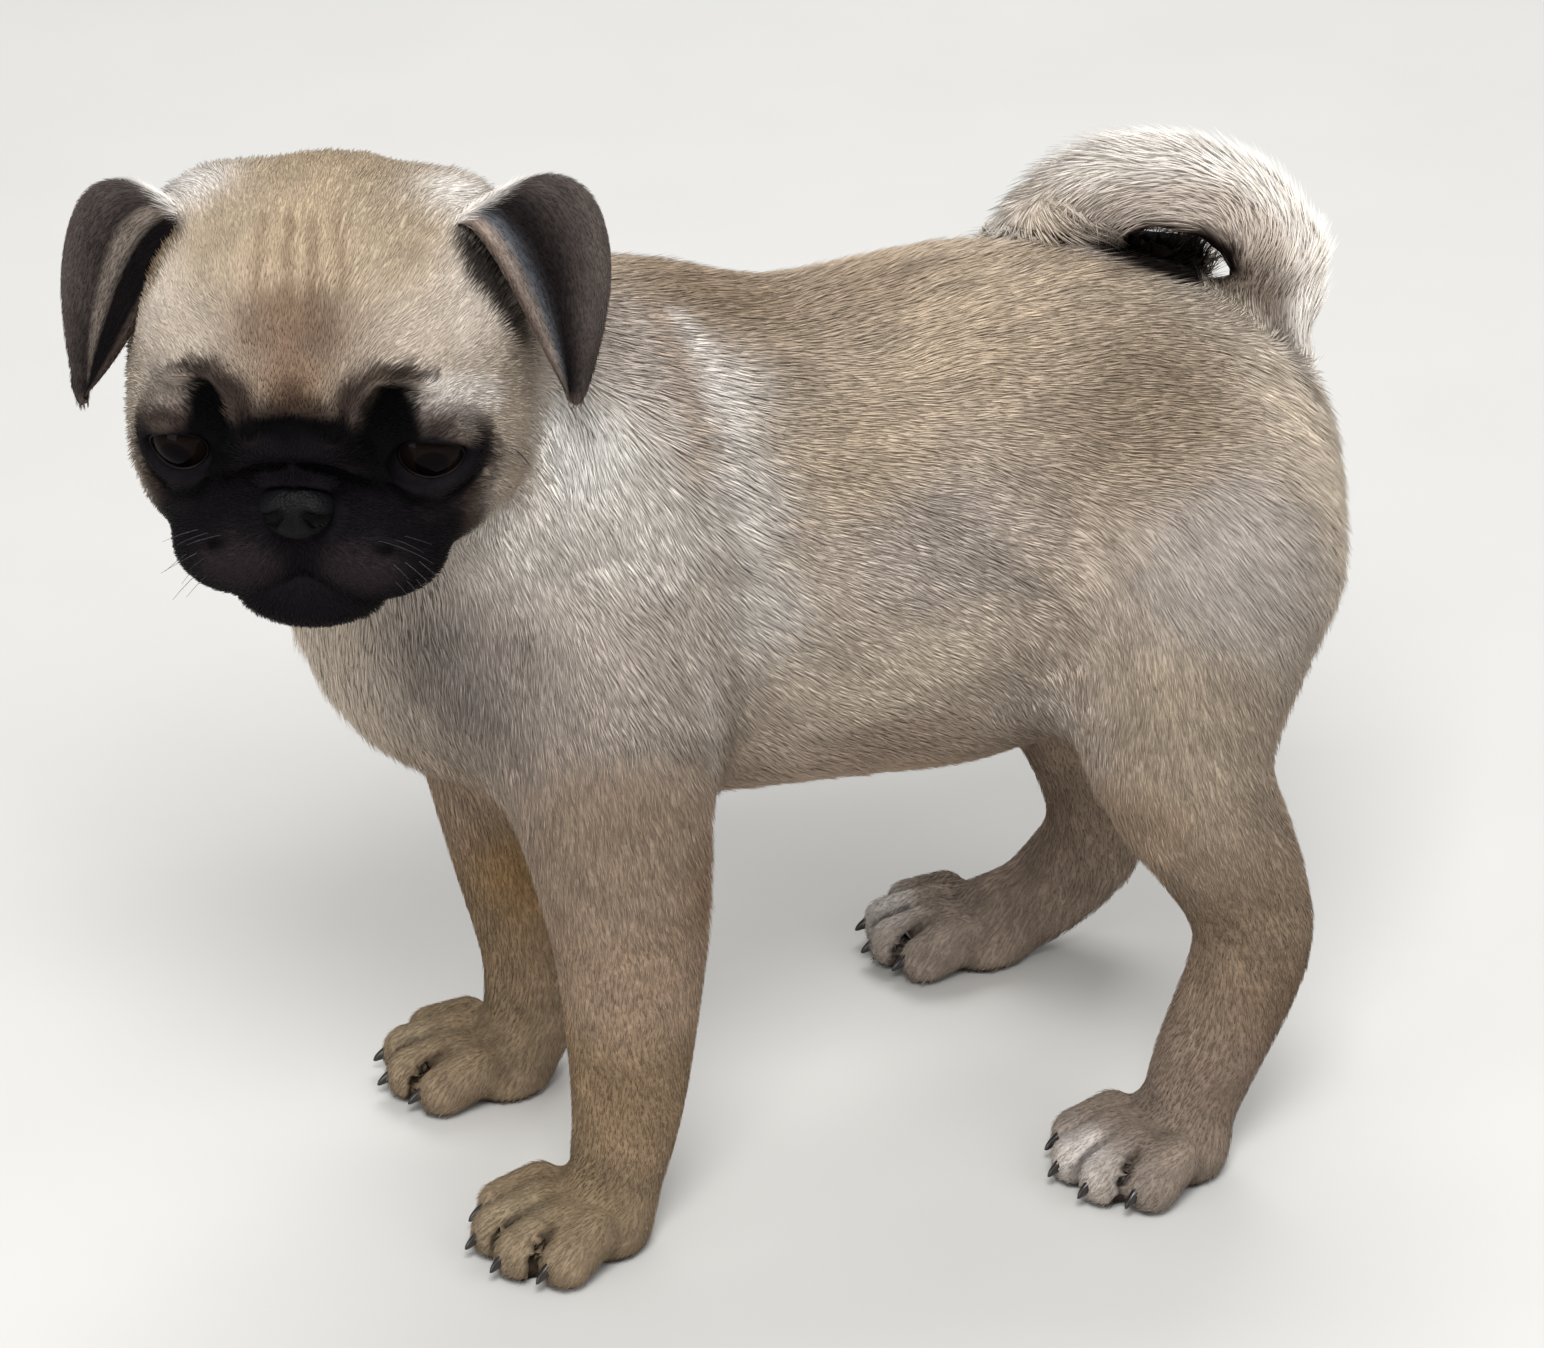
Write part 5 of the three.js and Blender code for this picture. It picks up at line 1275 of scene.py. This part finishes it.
def coat_piece(name, tree, uv, seed):
    """One piece of the coat as a plain mesh, from the part of the skin it covers."""
    width, density, tone, clump = TUFTS[name]
    mine = coat["piece"][quads[:, 0]] == name
    used, local = np.unique(quads[mine], return_inverse=True)
    bed = made_object("bed", vertices[used], local.reshape(-1, 4), undercoat)
    layer = bed.data.uv_layers.new(name="OFBake")
    layer.data.foreach_set("uv", uv[mine].ravel())
    length = coat["length"][used]
    fewer = smooth_step(vertices[used, 2], 1.0, 3.0) * coat["cover"][used]
    give(bed.data, "lie", "FLOAT_VECTOR", coat["lie"][used])
    give(bed.data, "length", "FLOAT", length * MM)
    give(bed.data, "width", "FLOAT", np.full(len(used), width * MM))
    give(bed.data, "rise", "FLOAT", np.tan(np.radians(coat["lift"][used])))
    give(bed.data, "density", "FLOAT", density * 1e6 * fewer)
    give_colour(bed.data, coat["colour"][used])
    grow = bed.modifiers.new("tufts", "NODES")
    grow.node_group = tree
    inputs = {item.name: item.identifier for item in tree.interface.items_tree if item.in_out == "INPUT"}
    grow[inputs["Seed"]] = seed
    grow[inputs["Clump"]] = clump
    grow[inputs["Stray"]] = STRAY
    grow[inputs["Tone"]] = tone
    view = bpy.context.evaluated_depsgraph_get()
    mesh = bpy.data.meshes.new_from_object(bed.evaluated_get(view))
    bed.modifiers.clear()
    bpy.data.objects.remove(bed)
    made = bpy.data.objects.new("coat_" + name, mesh)
    bpy.context.scene.collection.objects.link(made)
    roots = np.empty(len(mesh.vertices) * 3)
    mesh.attributes["root_uv"].data.foreach_get("vector", roots)
    tufts = len(mesh.vertices) // len(TUFT_POINTS)
    spots = roots.reshape(-1, 3)[:, :2] + np.tile(TUFT_PATCH, (tufts, 1))
    corners = np.empty(len(mesh.loops), np.int32)
    mesh.loops.foreach_get("vertex_index", corners)
    for extra in ("lie", "length", "width", "rise", "density", "root_uv", "OFBake"):
        if extra in mesh.attributes:
            mesh.attributes.remove(mesh.attributes[extra])
    mesh.uv_layers.new(name="OFBake").data.foreach_set("uv", spots[corners].ravel())
    above = np.empty(len(mesh.vertices) * 3, np.float32)  # no tuft reaches through the floor
    mesh.vertices.foreach_get("co", above)
    above[2::3] = np.maximum(above[2::3], 0.0)
    mesh.vertices.foreach_set("co", above)
    return made


uv = np.empty(quads.size * 2)
skin.data.uv_layers["OFBake"].data.foreach_get("uv", uv)
uv = uv.reshape(-1, 4, 2)
one_tuft = made_object("tuft", np.array(TUFT_POINTS) / MM + MIDDLE, np.array(TUFT_FACES), hair)
give(one_tuft.data, "along", "FLOAT", TUFT_ALONG)
tree = tuft_tree(one_tuft, hair)
coats = [coat_piece(name, tree, uv, SEED + i) for i, name in enumerate(TUFTS)]
bpy.data.objects.remove(one_tuft)
for piece in [skin, *coats]:
    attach(piece, "root")


# Eyes
def round_shell(name, centre, turned, radius_at, material, rings=36, sides=64):
    """A ball about a centre, its pole along the gaze, of the radius given for each angle from it."""
    angle = np.linspace(0, math.pi, rings + 1)[1:-1]
    round_about = np.linspace(0, 2 * math.pi, sides, endpoint=False)
    a, b = np.meshgrid(angle, round_about, indexing="ij")
    direction = np.stack([np.sin(a) * np.cos(b), -np.cos(a), np.sin(a) * np.sin(b)], -1).reshape(-1, 3)
    local = direction * radius_at(a.ravel())[:, None]
    ends = np.array([[0, -radius_at(np.zeros(1))[0], 0], [0, radius_at(np.full(1, math.pi))[0], 0]])
    local = np.concatenate([local, ends]) @ turned.T + centre
    made = made_object(name, from_head(local), tube_faces(rings - 1, sides)[:, ::-1], material)
    give(made.data, "from_gaze", "FLOAT", np.append(a.ravel(), [0, math.pi]) / (math.pi / 2))
    return made


def lid_rim(s, material, thick=0.35, sides=8, turns=72):
    """A thin wet edge where the lids lie on the eye, its path found by halving the angle from the gaze."""
    turned = gaze_turn(s)
    opening = lid_opening(s)
    rows, lower = [], []
    for about in np.linspace(0, 2 * math.pi, turns, endpoint=False):
        low, high = 0.05, 1.2
        for _ in range(24):
            tilt = (low + high) / 2
            wide = math.sin(tilt)
            aim = np.array([wide * math.cos(about), -math.cos(tilt), wide * math.sin(about)])
            spot = turned @ (aim * (EYE_RADIUS + 0.1)) + EYE * [s, 1, 1]
            low, high = (tilt, high) if opening(spot[None])[0] < 0 else (low, tilt)
        rows.append(spot)
        lower.append(smooth_step(-math.sin(about), 0.2, 0.8))
    rows = np.array(rows)
    out = rows - rows.mean(axis=0)
    out /= np.linalg.norm(out, axis=1, keepdims=True)
    front = turned @ [0, -1, 0]
    ring = np.linspace(0, 2 * math.pi, sides, endpoint=False)[:, None]
    tube = rows[:, None] + thick * (np.cos(ring) * out[:, None] + np.sin(ring) * front)
    number = np.arange(turns * sides).reshape(turns, sides)
    ahead, up = np.roll(number, -1, 0), np.roll(number, -1, 1)
    faces = np.stack([number, ahead, np.roll(ahead, -1, 1), up], -1).reshape(-1, 4)
    name = "lid_rim_left" if s > 0 else "lid_rim_right"
    made = made_object(name, from_head(tube.reshape(-1, 3)), faces, material)
    give(made.data, "lower", "FLOAT", np.repeat(lower, sides))
    return made


def eyeball_radius(angle):
    """Just inside the solid, with a cornea that stands out by half a millimetre round the gaze."""
    return EYE_RADIUS - 0.15 + 0.5 * np.exp(-((angle / 0.6) ** 2))


iris, wet_rim = eyeball_finish(), lid_finish()
for s, side in ((1, "left"), (-1, "right")):
    ball = round_shell("eyeball_" + side, EYE * [s, 1, 1], gaze_turn(s), eyeball_radius, iris)
    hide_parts("eye_" + side)
    for piece in (ball, lid_rim(s, wet_rim)):
        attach(piece, "root")


# Nose leather
nose_front = ellipsoid(NOSE + [0, -1.0, -2.6], [6.3, 4.7, 4.8])


def on_nose(rows):
    """A chain told from the middle of the nose."""
    return chain([[*(NOSE + row[:3]), row[3]] for row in rows])


nostrils = both(lambda s: on_nose([[s * 3.0, -5.9, -0.2, 1.1], [s * 5.2, -4.9, -2.0, 2.0],
                                   [s * 8.0, -2.2, -3.0, 1.2]]))
nose_groove = on_nose([[0, -6.4, 0.5, 0.5], [0, -6.2, -8, 0.9]])


def nose_form(points):
    d = meet(nose_lump(points), nose_front(points), 2.0)
    for line in [*nostrils, nose_groove]:
        d = carve(d, line(points), 0.6)
    return d


nose_axes = [
    np.arange(middle - low, middle + high, 0.4) for middle, low, high in zip(NOSE, (11, 11, 12), (11, 9, 9))
]
nose_points, nose_quads = surface(nose_form, nose_axes, band=3)
nose_points = settled(nose_points, nose_quads, nose_form, 0.0, rounds=2)
nose = made_object("nose_leather", from_head(nose_points), nose_quads, nose_finish())
# How far inside a nostril each point lies, for the painted shadow there
holes = np.min([line(nose_points) for line in nostrils], axis=0)
give(nose.data, "inside", "FLOAT", smooth_step(-holes, -1.1, 0.0))
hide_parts("nose")
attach(nose, "root")


# Claws
def claw(name, place, turned, material, long=6.8, radius=2.1, bend=32.0, sides=14, rings=12):
    """A horn that thins and bends down towards its blunt tip, narrower than it is high."""
    reach = long / math.radians(bend)
    rows = []
    for ring in range(rings):
        t = ring / (rings - 1)
        angle = math.radians(bend) * t
        centre = np.array([0, -reach * math.sin(angle), reach * (math.cos(angle) - 1)])
        wide = radius * math.sqrt(max(1 - 0.97 * t, 0.03)) * (1 if ring < rings - 1 else 0.5)
        for side in range(sides):
            a = 2 * math.pi * side / sides
            rows.append(centre + [0.72 * wide * math.cos(a), 0, wide * math.sin(a)])
    rows += [[0, 0, 0], rows[-sides] * np.array([0, 1, 1])]
    return made_object(name, np.array(rows) @ turned.T + place, tube_faces(rings, sides), material)


horn = claw_finish()
for leg, (_, paw, toe_out) in LEGS.items():
    for i, (side, _, tip, _) in enumerate(TOES, 1):
        root = paw_place(paw, toe_out, [side, tip - 3, TOE_TIP_HEIGHT + 0.9])
        turned = turn("z", toe_out) @ turn("z", side * 0.7) @ turn("x", 12)
        made = claw(f"horn_{leg}_{i}", root, turned, horn)
        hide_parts(f"claw_{leg}_{i}")
        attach(made, "root")

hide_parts(*[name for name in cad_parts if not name.startswith(("eye", "nose", "claw"))])


# Whiskers
def whisker_rows(s, draw):
    """Roots on the lips, cheek and brow, each with its aim and length."""
    rows = []
    for k in range(9):
        down, back = divmod(k, 3)
        root = [s * (17 + 1.6 * back), -42.5 + 1.6 * back, -26 - 3.2 * down]
        aim = [s, -0.35 - 0.2 * draw.random(), -0.35 * down + 0.1]
        rows.append((root, aim, 9 + 6 * draw.random()))
    for k in range(2 if s > 0 else 0):
        root = [s * 43, -14 + k, -19 - k * 0.8]
        rows.append((root, [s, -0.2 * k, -0.8], 6 + 2 * draw.random()))
    for k in range(2):
        root = [s * 20, -38, 8 + k]
        rows.append((root, [s * 0.5, -1, 0.9 + 0.3 * k], 9 + 3 * draw.random()))
    return rows


def whiskers(material, sides=5, rings=9):
    """All whiskers as one mesh: thin tapered tubes that droop, rooted 2 mm inside the skin."""
    draw = np.random.default_rng(SEED)
    points, faces, along = [], [], []
    for s in (1, -1):
        for root, aim, long in whisker_rows(s, draw):
            aim = np.array(aim) / np.linalg.norm(aim)
            side = np.cross(aim, [0, 0, 1])
            side /= np.linalg.norm(side)
            up = np.cross(side, aim)
            droop = 0.1 + 0.15 * draw.random()
            start = len(points)
            for ring in range(rings):
                t = ring / (rings - 1)
                centre = root + aim * (long * t - 2) - up * droop * long * t * t
                wide = 0.13 * (1 - 0.75 * t)
                for k in range(sides):
                    a = 2 * math.pi * k / sides
                    points.append(centre + wide * (math.cos(a) * side + math.sin(a) * up))
                    along.append(t)
            points += [root - aim * 2, centre + aim * 0.3]
            along += [0, 1]
            faces.append(tube_faces(rings, sides, start)[:, ::-1])
    made = made_object("whiskers", from_head(points), np.concatenate(faces), material)
    give(made.data, "along", "FLOAT", along)
    return made


hairs = whiskers(whisker_finish())
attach(hairs, "root")

# Floor, light and camera
bpy.ops.mesh.primitive_plane_add(size=6)
floor = bpy.context.object
floor.name = "floor"
floor.data.materials.append(floor_finish())

world = bpy.data.worlds.new("soft room")
world.use_nodes = True
world.node_tree.nodes["Background"].inputs[0].default_value = (0.9, 0.95, 1.0, 1)
world.node_tree.nodes["Background"].inputs[1].default_value = 0.4
bpy.context.scene.world = world
bpy.context.scene.view_settings.view_transform = "Standard"
for name, place, size, power in (
    ("key", (1.2, -0.5, 1.8), 0.8, 50.0),
    ("fill", (1.6, 1.0, 1.0), 1.4, 14.0),
    ("rim", (-1.0, 0.5, 1.7), 1.2, 26.0),
    ("front", (0.7, -1.8, 0.5), 1.0, 14.0),
):
    lamp = bpy.data.lights.new(name, "AREA")
    lamp.size = size
    lamp.energy = power
    light = bpy.data.objects.new(name, lamp)
    light.location = place
    light.rotation_euler = (Vector((0, 0, 0.12)) - Vector(place)).to_track_quat("-Z", "Y").to_euler()
    bpy.context.scene.collection.objects.link(light)

PHOTO_WIDTH = 1544  # in pixels
FOCAL_LENGTH = 5347  # in the photo's pixels, found by fitting the outline
lens = bpy.data.cameras.new("photo view")
lens.sensor_width = 36
lens.lens = lens.sensor_width * FOCAL_LENGTH / PHOTO_WIDTH
camera = bpy.data.objects.new("photo view", lens)
camera.location = (1.0390, -0.3803, 0.6926)
elevation, heading = math.radians(27.3), math.radians(20.6)
level = math.cos(elevation)
look = Vector((-math.cos(heading) * level, math.sin(heading) * level, -math.sin(elevation)))
camera.rotation_euler = look.to_track_quat("-Z", "Y").to_euler()
bpy.context.scene.collection.objects.link(camera)
bpy.context.scene.camera = camera
